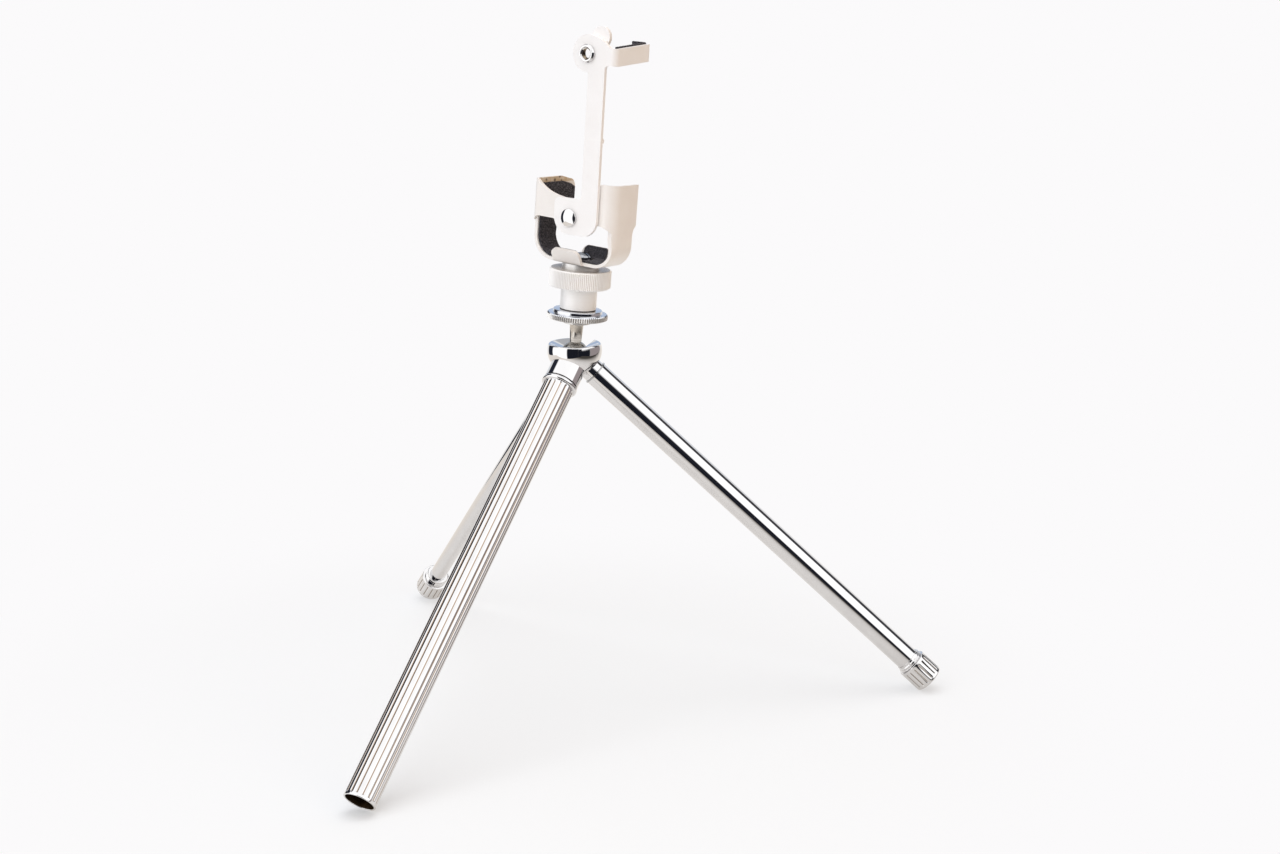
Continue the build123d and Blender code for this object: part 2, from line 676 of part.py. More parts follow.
with BuildPart() as saddle:
    with BuildSketch(front.offset(-STRIP_HALF)) as strip:
        with BuildLine():
            Polyline(
                (-SADDLE_HALF, rivet_up),
                (-SADDLE_HALF, saddle_foot),
                (SADDLE_HALF, saddle_foot),
                (SADDLE_HALF, rivet_up),
                (inner_half, rivet_up),
                (inner_half, saddle_floor),
                (-inner_half, saddle_floor),
                (-inner_half, rivet_up),
                close=True,
            )
        make_face()
        fillet(near(strip, SADDLE_HALF, saddle_foot), CORNER_R + SHEET)
        fillet(near(strip, -SADDLE_HALF, saddle_foot), CORNER_R + SHEET)
        fillet(near(strip, inner_half, saddle_floor), CORNER_R)
        fillet(near(strip, -inner_half, saddle_floor), CORNER_R)
    extrude(amount=2 * STRIP_HALF)
    # Above the lobe's foot the right wall bends forward, so the flat strip stops there.
    with BuildSketch(flank):
        with BuildLine():
            Polyline(
                (-beyond, lobe_foot),
                (-bend_back, lobe_foot),
                (-bend_back, right_top),
                (-beyond, right_top),
                close=True,
            )
        make_face()
    extrude(amount=beyond, mode=Mode.SUBTRACT)
    with BuildSketch(stem.offset(lobe_foot)) as band:
        with BuildLine():
            Polyline(
                (-SADDLE_HALF, LEFT_WALL_BACK),
                (-SADDLE_HALF, -BAND_HALF),
                (SADDLE_HALF, -BAND_HALF),
                (SADDLE_HALF, BAND_HALF),
                (inner_half, BAND_HALF),
                (inner_half, SHEET - BAND_HALF),
                (-inner_half, SHEET - BAND_HALF),
                (-inner_half, LEFT_WALL_BACK),
                close=True,
            )
        make_face()
        fillet(near(band, SADDLE_HALF, -BAND_HALF), BEND_R + SHEET)
        fillet(near(band, inner_half, SHEET - BAND_HALF), BEND_R)
        fillet(near(band, -SADDLE_HALF, -BAND_HALF), FOLD_R + SHEET)
        fillet(near(band, -inner_half, SHEET - BAND_HALF), FOLD_R)
    extrude(amount=right_top - lobe_foot)
    # Dipped top edge of the front plate.
    with BuildSketch(front.offset(STRIP_HALF + 0.2 * SHEET)):
        with BuildLine():
            Spline((dip_left, left_top), *dip_edge, (dip_right, right_top))
            Polyline(
                (dip_right, right_top),
                (dip_right, right_top + SHEET),
                (dip_left, right_top + SHEET),
                (dip_left, left_top),
            )
        make_face()
    extrude(amount=BAND_HALF, mode=Mode.SUBTRACT)
    # Lower edge of the front plate, with an arch at each side and a lobe for the rivet.
    with BuildSketch(front.offset(STRIP_HALF)):
        with BuildLine():
            Polyline(
                (-beyond, saddle_foot - SHEET),
                (-beyond, plate_foot - 1.5 * SHEET),
                (-SADDLE_HALF + 0.5 * SHEET, plate_foot - 1.5 * SHEET),
            )
            ThreePointArc(
                (-SADDLE_HALF + 0.5 * SHEET, plate_foot - 1.5 * SHEET),
                (-SADDLE_HALF + SHEET, plate_foot - 0.5 * SHEET),
                (-SADDLE_HALF + 2.2 * SHEET, plate_foot),
            )
            Line((-SADDLE_HALF + 2.2 * SHEET, plate_foot), (-SADDLE_HALF / 2, plate_foot))
            ThreePointArc(
                (-SADDLE_HALF / 2, plate_foot),
                (FOOT_LEFT - 0.2 * SHEET, plate_foot - 0.6 * SHEET),
                (FOOT_LEFT + 0.6 * SHEET, plate_foot - 2 * SHEET),
            )
            Polyline(
                (FOOT_LEFT + 0.6 * SHEET, plate_foot - 2 * SHEET),
                (FOOT_LEFT / 2, lobe_foot),
                (-0.7 * FOOT_LEFT, lobe_foot),
                (SADDLE_HALF / 2, plate_foot),
                (0.7 * SADDLE_HALF, plate_foot),
            )
            ThreePointArc(
                (0.7 * SADDLE_HALF, plate_foot),
                (SADDLE_HALF - 1.4 * SHEET, plate_foot - 1.4 * SHEET),
                (SADDLE_HALF, lobe_foot),
            )
            Polyline(
                (SADDLE_HALF, lobe_foot),
                (beyond, lobe_foot),
                (beyond, saddle_foot - SHEET),
                (-beyond, saddle_foot - SHEET),
            )
        make_face()
    extrude(amount=BAND_HALF - STRIP_HALF + SHEET, mode=Mode.SUBTRACT)
    # Back edge of the right wall, narrower below.
    with BuildSketch(flank):
        with BuildLine():
            Polyline(
                (BAND_HALF, plate_foot),
                (beyond, plate_foot),
                (beyond, saddle_floor + SHEET),
                (STRIP_HALF, saddle_floor + SHEET),
                (STRIP_HALF, lobe_foot),
            )
            ThreePointArc(
                (STRIP_HALF, lobe_foot),
                (STRIP_HALF + 0.3 * (BAND_HALF - STRIP_HALF), plate_foot - 1.3 * SHEET),
                (BAND_HALF, plate_foot),
            )
        make_face()
    extrude(amount=beyond, mode=Mode.SUBTRACT)
    # Back edge of the left wall, which is the deeper one.
    with BuildSketch(flank.offset(-beyond)):
        with BuildLine():
            Polyline(
                (LEFT_WALL_BACK, wing_foot),
                (beyond, wing_foot),
                (beyond, saddle_floor + SHEET),
                (STRIP_HALF, saddle_floor + SHEET),
                (STRIP_HALF, plate_foot - 2 * SHEET),
            )
            ThreePointArc(
                (STRIP_HALF, plate_foot - 2 * SHEET),
                (STRIP_HALF + WING_BOW * (LEFT_WALL_BACK - STRIP_HALF), (plate_foot + wing_foot) / 2),
                (LEFT_WALL_BACK, wing_foot),
            )
        make_face()
    extrude(amount=beyond, mode=Mode.SUBTRACT)
    # Top of the left wall, sloping down at the back.
    with BuildSketch(flank.offset(-beyond)):
        with BuildLine():
            Polyline(
                (wing_bend, left_top - SHEET),
                (BAND_HALF, left_top),
                (-beyond, left_top),
                (-beyond, right_top + SHEET),
                (beyond, right_top + SHEET),
                (beyond, wing_top),
                (LEFT_WALL_BACK, wing_top),
            )
            ThreePointArc(
                (LEFT_WALL_BACK, wing_top),
                (LEFT_WALL_BACK - 0.3 * WING_ROUND, wing_top + 0.7 * WING_ROUND),
                (wing_bend, left_top - SHEET),
            )
        make_face()
    extrude(amount=beyond - inner_half + 0.2 * SHEET, mode=Mode.SUBTRACT)
    with BuildSketch(stem.offset(saddle_foot - SHEET)):
        Circle(SCREW_R + RUN)
    extrude(amount=3 * SHEET, mode=Mode.SUBTRACT)
    with BuildSketch(front.offset(STRIP_HALF)):
        with Locations((RIVET_ACROSS, rivet_up)):
            Circle(RIVET_R + SEAT)
    extrude(amount=BAND_HALF, mode=Mode.SUBTRACT)
    add(lip.part)
    add(back_lip)

# Felt of the saddle: a U lining that runs on along the left wall's wing.
felt_out = inner_half - SEAT
felt_in = felt_out - FELT
felt_half = STRIP_HALF - FELT_MARGIN
felt_low = saddle_floor + SEAT
left_felt_top = left_top - 3 * FELT_MARGIN
right_felt_top = right_top - 3 * FELT_MARGIN
with BuildPart() as saddle_felt:
    with BuildSketch(front.offset(-felt_half)) as lining:
        with BuildLine():
            Polyline(
                (-felt_out, left_felt_top),
                (-felt_out, felt_low),
                (felt_out, felt_low),
                (felt_out, right_felt_top),
                (felt_in, right_felt_top),
                (felt_in, felt_low + FELT),
                (-felt_in, felt_low + FELT),
                (-felt_in, left_felt_top),
                close=True,
            )
        make_face()
        fillet(near(lining, felt_out, felt_low), CORNER_R - SEAT)
        fillet(near(lining, -felt_out, felt_low), CORNER_R - SEAT)
        fillet(near(lining, felt_in, felt_low + FELT), CORNER_R - SEAT - FELT)
        fillet(near(lining, -felt_in, felt_low + FELT), CORNER_R - SEAT - FELT)
    extrude(amount=2 * felt_half)
    with BuildSketch(flank.offset(-felt_out)):
        with BuildLine():
            Polyline(
                (0, wing_foot + FELT_MARGIN),
                (LEFT_WALL_BACK - FELT_MARGIN, wing_foot + FELT_MARGIN),
                (LEFT_WALL_BACK - FELT_MARGIN, wing_top),
                (wing_bend, left_felt_top - SHEET),
                (BAND_HALF, left_felt_top),
                (0, left_felt_top),
                close=True,
            )
        make_face()
    extrude(amount=FELT)
    # The right wall stays bare where it bends into the front plate.
    with BuildSketch(flank):
        with BuildLine():
            Polyline(
                (-beyond, lobe_foot - 2 * SHEET),
                (-bend_back, lobe_foot - 2 * SHEET),
                (-bend_back, right_top),
                (-beyond, right_top),
                close=True,
            )
        make_face()
    extrude(amount=beyond, mode=Mode.SUBTRACT)
    with BuildSketch(stem.offset(saddle_floor - SHEET)):
        Circle(SPRING_WASHER_R + FELT_MARGIN)
    extrude(amount=3 * SHEET, mode=Mode.SUBTRACT)

plate_back = BAND_HALF - SHEET
felt_right = dip_right - 2.4 * FELT_MARGIN
with BuildPart() as plate_felt:
    with BuildSketch(front.offset(plate_back - SEAT - PLATE_FELT)):
        with BuildLine():
            Polyline(
                (-felt_in, plate_foot + FELT_MARGIN),
                (-felt_in, left_felt_top - FELT_MARGIN),
                *[(across, up - 2 * FELT_MARGIN) for across, up in dip_edge],
                (felt_right, right_top - 7 * FELT_MARGIN),
                (felt_right, plate_foot + FELT_MARGIN),
                close=True,
            )
        make_face()
        with Locations((RIVET_ACROSS, rivet_up)):
            Circle(RIVET_TAIL_R + FELT_MARGIN, mode=Mode.SUBTRACT)
    extrude(amount=PLATE_FELT)

# Felt of the lips: runs on from the saddle's felt and up to the lip's edge.
felt_across = FELT / cos(lean)
with BuildPart() as lip_felt:
    with BuildSketch(flank.offset(-LIP_SHIFT - LIP_WIDTH / 2 + 2 * FELT_MARGIN)):
        with BuildLine():
            Polyline(
                (-felt_half - SEAT, felt_low),
                (inner_foot[0] + 2 * SEAT, felt_low),
                (inner_top[0] + 2 * SEAT, inner_top[1]),
                (inner_top[0] + felt_across, inner_top[1]),
                (inner_foot[0] - FELT * tan(lean) + felt_across, felt_low + FELT),
                (-felt_half - SEAT, felt_low + FELT),
                close=True,
            )
        make_face()
    extrude(amount=LIP_WIDTH - 4 * FELT_MARGIN)
    felt_edge = lip_felt.faces().sort_by(stem_axis)[-1]
    fillet(felt_edge.edges().sort_by(SortBy.LENGTH)[:2], LIP_ROUND - 2 * FELT_MARGIN)
back_lip_felt = lip_felt.part.rotate(stem_axis, 180)
with BuildPart() as lip_felts:
    add(lip_felt.part)
    add(back_lip_felt)

# Arm: stamped from sheet, swinging on a rivet in the front plate.
arm = Plane(front.location * Pos(RIVET_ACROSS, rivet_up) * Rot(0, 0, ARM_REST))
arm_back = BAND_HALF + ARM_GAP
arm_front = arm_back + ARM_SHEET
claw_root = CLAW_REACH - CLAW_BEND_R - ARM_SHEET
claw_top = CLAW_FOOT + CLAW_HEIGHT
claw_inside = CLAW_REACH - ARM_SHEET
hook_inside = CLAW_BACK - ARM_SHEET
hook_end = CLAW_REACH - HOOK_LENGTH
claw_plan = Plane(arm.origin, x_dir=arm.x_dir, z_dir=arm.y_dir)
claw_side = Plane(arm.origin, x_dir=-arm.z_dir, z_dir=arm.x_dir)
bend_start = CLAW_BEND_R - arm_back


def claw_outline(low, high):
    """The claw seen from its side, level on the arm and rising toward its end."""
    return [
        (-arm_front - SHEET, low),
        (bend_start, low),
        (CLAW_BACK, low + CLAW_RISE),
        (CLAW_BACK, high + CLAW_RISE),
        (bend_start, high),
        (-arm_front - SHEET, high),
    ]


with BuildPart() as claw:
    with BuildSketch(claw_plan.offset(CLAW_FOOT - SHEET)) as claw_bend:
        with BuildLine():
            Polyline(
                (claw_root - SHEET, -arm_front),
                (CLAW_REACH, -arm_front),
                (CLAW_REACH, CLAW_BACK),
                (hook_end, CLAW_BACK),
                (hook_end, hook_inside),
                (claw_inside, hook_inside),
                (claw_inside, -arm_back),
                (claw_root - SHEET, -arm_back),
                close=True,
            )
        make_face()
        fillet(near(claw_bend, CLAW_REACH, -arm_front), CLAW_BEND_R + ARM_SHEET)
        fillet(near(claw_bend, claw_inside, -arm_back), CLAW_BEND_R)
        fillet(near(claw_bend, CLAW_REACH, CLAW_BACK), CLAW_BEND_R + ARM_SHEET)
        fillet(near(claw_bend, claw_inside, hook_inside), CLAW_BEND_R)
    extrude(amount=CLAW_HEIGHT + CLAW_RISE + 2 * SHEET)
    with BuildSketch(claw_side):
        with BuildLine():
            Polyline(*claw_outline(CLAW_FOOT, claw_top), close=True)
        make_face()
    extrude(amount=beyond, mode=Mode.INTERSECT)
    hook_face = claw.faces().sort_by(Axis(arm.origin, arm.x_dir))[0]
    fillet(hook_face.edges().sort_by(SortBy.LENGTH)[:2], HOOK_ROUND * CLAW_HEIGHT)

ledge = [
    (BUSH_ACROSS + 0.4, BUSH_UP + ARM_HEAD_R),
    (TAB_ACROSS, TAB_UP),
    (TAB_ACROSS + 0.8 * TAB_R, TAB_UP - 0.35 * TAB_R),
]
ledge_below = [(across - 0.2, up - ARM_SHEET) for across, up in reversed(ledge)]
with BuildPart() as clamp_arm:
    with BuildSketch(arm.offset(arm_back)) as blank:
        with BuildLine():
            Polyline(
                (FOOT_LEFT, FOOT_BOTTOM),
                (BAR_RIGHT, FOOT_BOTTOM),
                (BAR_RIGHT, CLAW_FOOT),
                (claw_root, CLAW_FOOT),
                (claw_root, claw_top),
                *reversed(ledge),
                (BUSH_ACROSS, BUSH_UP + ARM_HEAD_R),
                (BUSH_ACROSS, BUSH_UP),
                (BAR_LEFT, BUSH_UP),
                (BAR_LEFT, FOOT_TOP),
                (FOOT_LEFT, FOOT_TOP),
                close=True,
            )
        make_face()
        fillet(near(blank, FOOT_LEFT, FOOT_BOTTOM), FOOT_ROUND)
        fillet(near(blank, BAR_RIGHT, FOOT_BOTTOM), FOOT_ROUND)
        fillet(near(blank, FOOT_LEFT, FOOT_TOP), 2 * SHEET)
        fillet(near(blank, BAR_LEFT, FOOT_TOP), SHEET)
        fillet(near(blank, BAR_RIGHT, CLAW_FOOT), SHEET)
        with Locations((BUSH_ACROSS, BUSH_UP)):
            Circle(ARM_HEAD_R)
    extrude(amount=ARM_SHEET)
    with BuildSketch(arm.offset(arm_back - TAB_OFFSET)):
        with BuildLine():
            Polyline(*ledge, *ledge_below, close=True)
        make_face()
    extrude(amount=ARM_SHEET + TAB_OFFSET)
    with BuildSketch(arm.offset(arm_back - TAB_OFFSET)):
        with Locations((TAB_ACROSS, TAB_UP)):
            Circle(TAB_R)
        with BuildLine():
            Polyline(
                *ledge_below,
                (TAB_ACROSS - 2 * TAB_R, TAB_UP),
                (TAB_ACROSS - 2 * TAB_R, TAB_UP - 2 * TAB_R),
                (TAB_ACROSS + 2 * TAB_R, TAB_UP - 2 * TAB_R),
                (TAB_ACROSS + 2 * TAB_R, TAB_UP - TAB_R),
                close=True,
            )
        make_face(mode=Mode.SUBTRACT)
    extrude(amount=ARM_SHEET)
    with BuildSketch(claw_side.offset(BAR_LEFT)):
        with Locations((-arm_back - RIB_SINK, RIB_UP)):
            Circle(RIB_R)
    extrude(amount=BAR_RIGHT - BAR_LEFT)
    add(claw.part)
    with BuildSketch(arm):
        Circle(RIVET_R + RUN)
        with Locations((BUSH_ACROSS, BUSH_UP)):
            Circle(BUSH_SHANK_R + SEAT)
    extrude(amount=2 * arm_front, mode=Mode.SUBTRACT)

rivet_face = arm_front + RUN
rivet_top = rivet_face + RIVET_HEAD_HEIGHT
tail_top = plate_back - SEAT
with BuildPart() as arm_rivet:
    with BuildSketch(side_of(arm)):
        with BuildLine():
            Polyline(
                (0, rivet_top),
                (0, tail_top - RIVET_TAIL_HEIGHT),
                (RIVET_TAIL_R, tail_top - RIVET_TAIL_HEIGHT),
                (RIVET_TAIL_R, tail_top),
                (RIVET_R, tail_top),
                (RIVET_R, rivet_face),
                (RIVET_HEAD_R, rivet_face),
            )
            ThreePointArc(
                (RIVET_HEAD_R, rivet_face), crown(RIVET_HEAD_R, rivet_face, rivet_top), (0, rivet_top)
            )
        make_face()
    revolve(axis=Axis(arm.origin, arm.z_dir))

arm_washer = turned(
    arm,
    [
        (RIVET_R + RUN, BAND_HALF + SEAT),
        (RIVET_R + 2 * SHEET, BAND_HALF + SEAT),
        (RIVET_R + 2 * SHEET, arm_back - SEAT),
        (RIVET_R + RUN, arm_back - SEAT),
    ],
)

bush_top = arm_front + BUSH_HEIGHT
release_bush = turned(
    Plane(arm.location * Pos(BUSH_ACROSS, BUSH_UP)),
    [
        (BUSH_HOLE_R, arm_back),
        (BUSH_SHANK_R, arm_back),
        (BUSH_SHANK_R, arm_front),
        (BUSH_R, arm_front),
        (BUSH_R, bush_top - BUSH_EDGE),
        (BUSH_R - BUSH_EDGE, bush_top),
        (BUSH_HOLE_R, bush_top),
    ],
)

pad_out = claw_inside - SEAT
pad_back = hook_inside - SEAT
with BuildPart() as claw_felt:
    with BuildSketch(claw_plan.offset(CLAW_FOOT)) as pad_bend:
        with BuildLine():
            Polyline(
                (pad_out, bend_start),
                (pad_out, pad_back),
                (hook_end + FELT_MARGIN, pad_back),
                (hook_end + FELT_MARGIN, pad_back - CLAW_FELT),
                (pad_out - CLAW_FELT, pad_back - CLAW_FELT),
                (pad_out - CLAW_FELT, bend_start),
                close=True,
            )
        make_face()
        fillet(near(pad_bend, pad_out, pad_back), CLAW_BEND_R - SEAT)
    extrude(amount=CLAW_HEIGHT + CLAW_RISE + 2 * SHEET)
    with BuildSketch(claw_side):
        with BuildLine():
            Polyline(*claw_outline(CLAW_FOOT + FELT_MARGIN, claw_top + CLAW_FELT_PROUD), close=True)
        make_face()
    extrude(amount=beyond, mode=Mode.INTERSECT)

pieces = {
    "head_block": head_block,
    "ball": ball,
    "ball_stem": ball_stem,
    "platform_disc": platform_disc,
    "platform_washer": platform_washer,
    "thrust_pad": thrust_pad,
    "fluted_leg_plug": fluted_leg_plug,
    "fluted_leg_tube": fluted_leg_tube,
    "fluted_leg_collar": fluted_leg_collar,
    "middle_leg_stud": middle_leg_stud,
    "middle_leg_washer": middle_leg_washer,
    "middle_leg_tube": middle_leg_tube,
    "middle_leg_foot": middle_leg_foot,
    "thin_leg_stud": thin_leg_stud,
    "thin_leg_washer": thin_leg_washer,
    "thin_leg_tube": thin_leg_tube,
    "thin_leg_foot": thin_leg_foot,
    "clamp_sleeve": clamp_sleeve,
    "sleeve_nut": sleeve_nut,
    "knurled_ring": knurled_ring,
    "neck_bush": neck_bush,
    "clamp_screw": clamp_screw,
    "swivel_washer": swivel_washer,
    "saddle": saddle,
    "saddle_felt": saddle_felt,
    "plate_felt": plate_felt,
    "lip_felts": lip_felts,
    "clamp_arm": clamp_arm,
    "arm_rivet": arm_rivet,
    "arm_washer": arm_washer,
    "release_bush": release_bush,
    "claw_felt": claw_felt,
}
for name, piece in pieces.items():
    piece.part.label = name
    export_step(piece.part, f"parts/{name}.step")
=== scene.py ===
"""Looks of a pocket tripod with a ball head and a small felt-lined camera clamp.

Sizes in the sections are millimetres along each piece's own axis, as in the part's source.
"""

import json
from math import atan2, cos, pi, radians, sin, sqrt, tan

import bpy
from mathutils import Matrix, Vector


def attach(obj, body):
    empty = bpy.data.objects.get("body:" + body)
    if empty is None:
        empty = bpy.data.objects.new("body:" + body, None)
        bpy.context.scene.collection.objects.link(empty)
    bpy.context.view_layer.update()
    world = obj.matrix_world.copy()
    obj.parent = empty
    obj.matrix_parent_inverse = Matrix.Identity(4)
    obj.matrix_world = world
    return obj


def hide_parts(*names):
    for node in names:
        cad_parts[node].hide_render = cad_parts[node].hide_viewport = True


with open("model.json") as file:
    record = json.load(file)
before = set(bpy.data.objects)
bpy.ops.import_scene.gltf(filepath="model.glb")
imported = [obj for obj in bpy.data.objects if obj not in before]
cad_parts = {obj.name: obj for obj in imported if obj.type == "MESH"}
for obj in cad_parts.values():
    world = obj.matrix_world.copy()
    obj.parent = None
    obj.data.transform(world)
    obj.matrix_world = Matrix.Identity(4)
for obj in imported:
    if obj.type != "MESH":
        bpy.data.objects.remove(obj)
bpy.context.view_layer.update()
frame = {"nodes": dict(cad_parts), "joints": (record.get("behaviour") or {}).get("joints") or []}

# Ball head: a cast body turned outside, with a dished top, a slotted rim and three leg bosses.
# It is polished on a soft wheel and chromed all over, which leaves a mirror with a slight waviness.
MM = 0.001
joints = {joint["name"]: joint for joint in frame["joints"]}
nodes = frame["nodes"]
upright = Vector((0, 0, 1))
head_point = Vector(joints["ball_roll"]["pos_m"])
stem_way = Vector(joints["sleeve_turn"]["axis"])
front_way = Vector(joints["arm_swing"]["axis"])


def linear(code):
    """An sRGB hex colour as linear red, green, blue and alpha."""
    parts = [int(code[start:start + 2], 16) / 255 for start in (1, 3, 5)]
    return [part / 12.92 if part <= 0.04045 else ((part + 0.055) / 1.055) ** 2.4 for part in parts] + [1]


def add(tree, kind, inputs=None, **settings):
    """Adds a node: settings are its own options, inputs give its sockets a value or a link."""
    made = tree.nodes.new(f"ShaderNode{kind}")
    for key, value in settings.items():
        setattr(made, key, value)
    for key, value in (inputs or {}).items():
        if isinstance(value, bpy.types.NodeSocket):
            tree.links.new(value, made.inputs[key])
        else:
            made.inputs[key].default_value = value
    return made


def own_ways(axis):
    """A piece's own directions as the rows of a matrix: across, toward the back and along its axis."""
    across = axis.cross(stem_way if abs(axis.dot(front_way)) > 0.9 else front_way).normalized()
    return Matrix((across, axis.cross(across), axis))


def blank_material(name, axis, origin=head_point):
    """A new material with its shader, and Object coordinates turned so that Z runs along a piece's axis."""
    material = bpy.data.materials.new(name)
    material.use_nodes = True
    tree = material.node_tree
    turned = own_ways(axis)
    place = add(
        tree,
        "Mapping",
        {
            "Vector": add(tree, "TexCoord").outputs["Object"],
            "Rotation": turned.to_euler(),
            "Location": -(turned @ origin),
        },
    )
    return material, tree, tree.nodes["Principled BSDF"], place.outputs["Vector"]


def shade_grooves(tree, tone, groove_shade):
    """Paints shade into the bottoms of grooves: the colour darkens toward where a groove is deepest."""
    groove = add(tree, "Attribute", attribute_name="groove")
    depth = add(
        tree,
        "MapRange",
        {"Value": groove.outputs["Fac"], "From Min": 0.55, "From Max": 0.85, "To Max": 0.9},
    )
    return add(tree, "Mix", {0: depth.outputs[0], 6: tone.outputs[2], 7: linear(groove_shade)}, data_type="RGBA")


def chrome_plate(name, axis, stretch, groove_shade=None):
    """Bright chrome over polished metal: a clear mirror, hazy in patches, with hairlines from wiping
    along the piece and a few pinholes where the plating has aged."""
    material, tree, shader, place = blank_material(name, axis)
    haze = add(tree, "TexNoise", {"Vector": place, "Scale": 1 / (5 * MM), "Detail": 3})
    along = add(tree, "VectorMath", {0: place, 1: stretch}, operation="MULTIPLY")
    # Hairlines are really 0.02 mm wide; they are drawn 0.12 mm wide to show at all.
    hairs = add(tree, "TexNoise", {"Vector": along.outputs[0], "Scale": 1 / (0.12 * MM), "Detail": 2})
    hair = add(
        tree,
        "MapRange",
        {"Value": hairs.outputs["Fac"], "From Min": 0.62, "From Max": 0.75, "To Max": 0.06},
    )
    gloss = add(
        tree,
        "MapRange",
        {"Value": haze.outputs["Fac"], "From Min": 0.3, "From Max": 0.75, "To Min": 0.02, "To Max": 0.06},
    )
    rough = add(tree, "Math", {0: hair.outputs[0], 1: gloss.outputs[0]}, operation="ADD")
    pits = add(tree, "TexVoronoi", {"Vector": place, "Scale": 1 / (1.6 * MM)})
    pit = add(
        tree,
        "MapRange",
        {"Value": pits.outputs["Distance"], "From Min": 0.035, "From Max": 0.06, "To Min": 1, "To Max": 0},
    )
    aged = add(tree, "Math", {0: haze.outputs["Fac"], 1: 0.56}, operation="GREATER_THAN")
    spot = add(tree, "Math", {0: pit.outputs[0], 1: aged.outputs[0]}, operation="MULTIPLY")
    tone = add(
        tree,
        "Mix",
        {0: haze.outputs["Fac"], 6: linear("#E3E2E2"), 7: linear("#D5D4D5")},
        data_type="RGBA",
    )
    spotted = add(
        tree, "Mix", {0: spot.outputs[0], 6: tone.outputs[2], 7: linear("#6B6459")}, data_type="RGBA"
    )
    if groove_shade:
        spotted = shade_grooves(tree, spotted, groove_shade)
    ripple = add(tree, "TexNoise", {"Vector": place, "Scale": 1 / (1.8 * MM), "Detail": 1})
    wave = add(tree, "Bump", {"Height": ripple.outputs["Fac"], "Strength": 0.1, "Distance": 0.012 * MM})
    tree.links.new(spotted.outputs[2], shader.inputs["Base Color"])
    tree.links.new(rough.outputs[0], shader.inputs["Roughness"])
    tree.links.new(wave.outputs[0], shader.inputs["Normal"])
    shader.inputs["Metallic"].default_value = 1
    return material


head_chrome = chrome_plate("polished_chrome_plate", upright, (1, 1, 0.2))
nodes["head_block"].material_slots[0].material = head_chrome

# Ball, stem and thrust pad: the steel stem is brazed to the ball and carries the camera screw,
# and a cupped brass pad presses on the ball from the side of the fluted leg.
EASE_STEPS = 4
LATHE_STEPS = 64
THREAD_STEPS = 40
RIDGE_SHARES = (0.04, 0.44, 0.56, 0.96)  # of the pitch: foot, crest, crest and foot of a thread's ridge
ROOT_SINK = 0.05  # how far the foot of a ridge reaches into the metal under it
WELD = 1e-6  # metres within which two points are one
ball_top = 4.32
stem_foot = 3.92
stem_foot_r = 1.85  # these two radii are the photograph's; the part's own stem is slimmer
stem_top_r = 2.2
braze_end = 4.5
braze = 0.02
hub_start = 9.9
stud_start = 10.6
stud_end = 20.0
stud_tip = 0.3
stud_r = 3.175
stud_depth = 0.6
stud_pitch = 1.27
stud_turns = 7


def eased(*corners):
    """An outline with its corners (radius, height, rounding) eased by small arcs."""
    outline = []
    for number, (radius, height, ease) in enumerate(corners):
        here = Vector((radius, height))
        if not ease:
            outline.append(here)
            continue
        before = (Vector(corners[number - 1][:2]) - here).normalized()
        after = (Vector(corners[(number + 1) % len(corners)][:2]) - here).normalized()
        half = before.angle(after) / 2
        centre = here + (before + after).normalized() * ease / sin(half)
        first = here + before * ease / tan(half) - centre
        last = here + after * ease / tan(half) - centre
        for step in range(EASE_STEPS + 1):
            outline.append(centre + first.lerp(last, step / EASE_STEPS).normalized() * ease)
    return outline


def turn(name, outline, steps):
    """A piece spun on the lathe from a closed outline of (radius, height) points."""
    bpy.ops.object.select_all(action="DESELECT")
    bpy.ops.mesh.primitive_circle_add(vertices=len(outline), radius=MM)
    piece = bpy.context.object
    piece.name = piece.data.name = name
    for point, (radius, height) in zip(piece.data.vertices, outline):
        point.co = (radius * MM, 0, height * MM)
    bpy.ops.object.mode_set(mode="EDIT")
    bpy.ops.mesh.select_all(action="SELECT")
    bpy.ops.mesh.spin(steps=steps, angle=2 * pi, center=(0, 0, 0), axis=(0, 0, 1))
    bpy.ops.mesh.select_all(action="SELECT")
    bpy.ops.mesh.remove_doubles(threshold=WELD)
    bpy.ops.mesh.delete_loose()
    bpy.ops.mesh.select_all(action="SELECT")
    bpy.ops.mesh.normals_make_consistent(inside=False)
    bpy.ops.object.mode_set(mode="OBJECT")
    return piece


def thread(piece, start, turns, pitch, root, crest):
    """Adds a screw thread to a turned piece, as a ridge wound round its axis from root to crest."""
    outline = list(zip((root, crest, crest, root), RIDGE_SHARES))
    bpy.ops.object.select_all(action="DESELECT")
    bpy.ops.mesh.primitive_circle_add(vertices=len(outline), radius=MM)
    ridge = bpy.context.object
    for point, (radius, share) in zip(ridge.data.vertices, outline):
        point.co = (radius * MM, 0, (start + share * pitch) * MM)
    helix = ridge.modifiers.new("helix", "SCREW")
    helix.screw_offset = pitch * MM
    helix.iterations = turns
    helix.steps = helix.render_steps = THREAD_STEPS
    bpy.ops.object.modifier_apply(modifier=helix.name)
    bpy.ops.object.mode_set(mode="EDIT")
    bpy.ops.mesh.select_all(action="SELECT")
    bpy.ops.mesh.fill_holes(sides=len(outline))
    bpy.ops.mesh.normals_make_consistent(inside=False)
    bpy.ops.object.mode_set(mode="OBJECT")
    piece.select_set(True)
    bpy.context.view_layer.objects.active = piece
    bpy.ops.object.join()


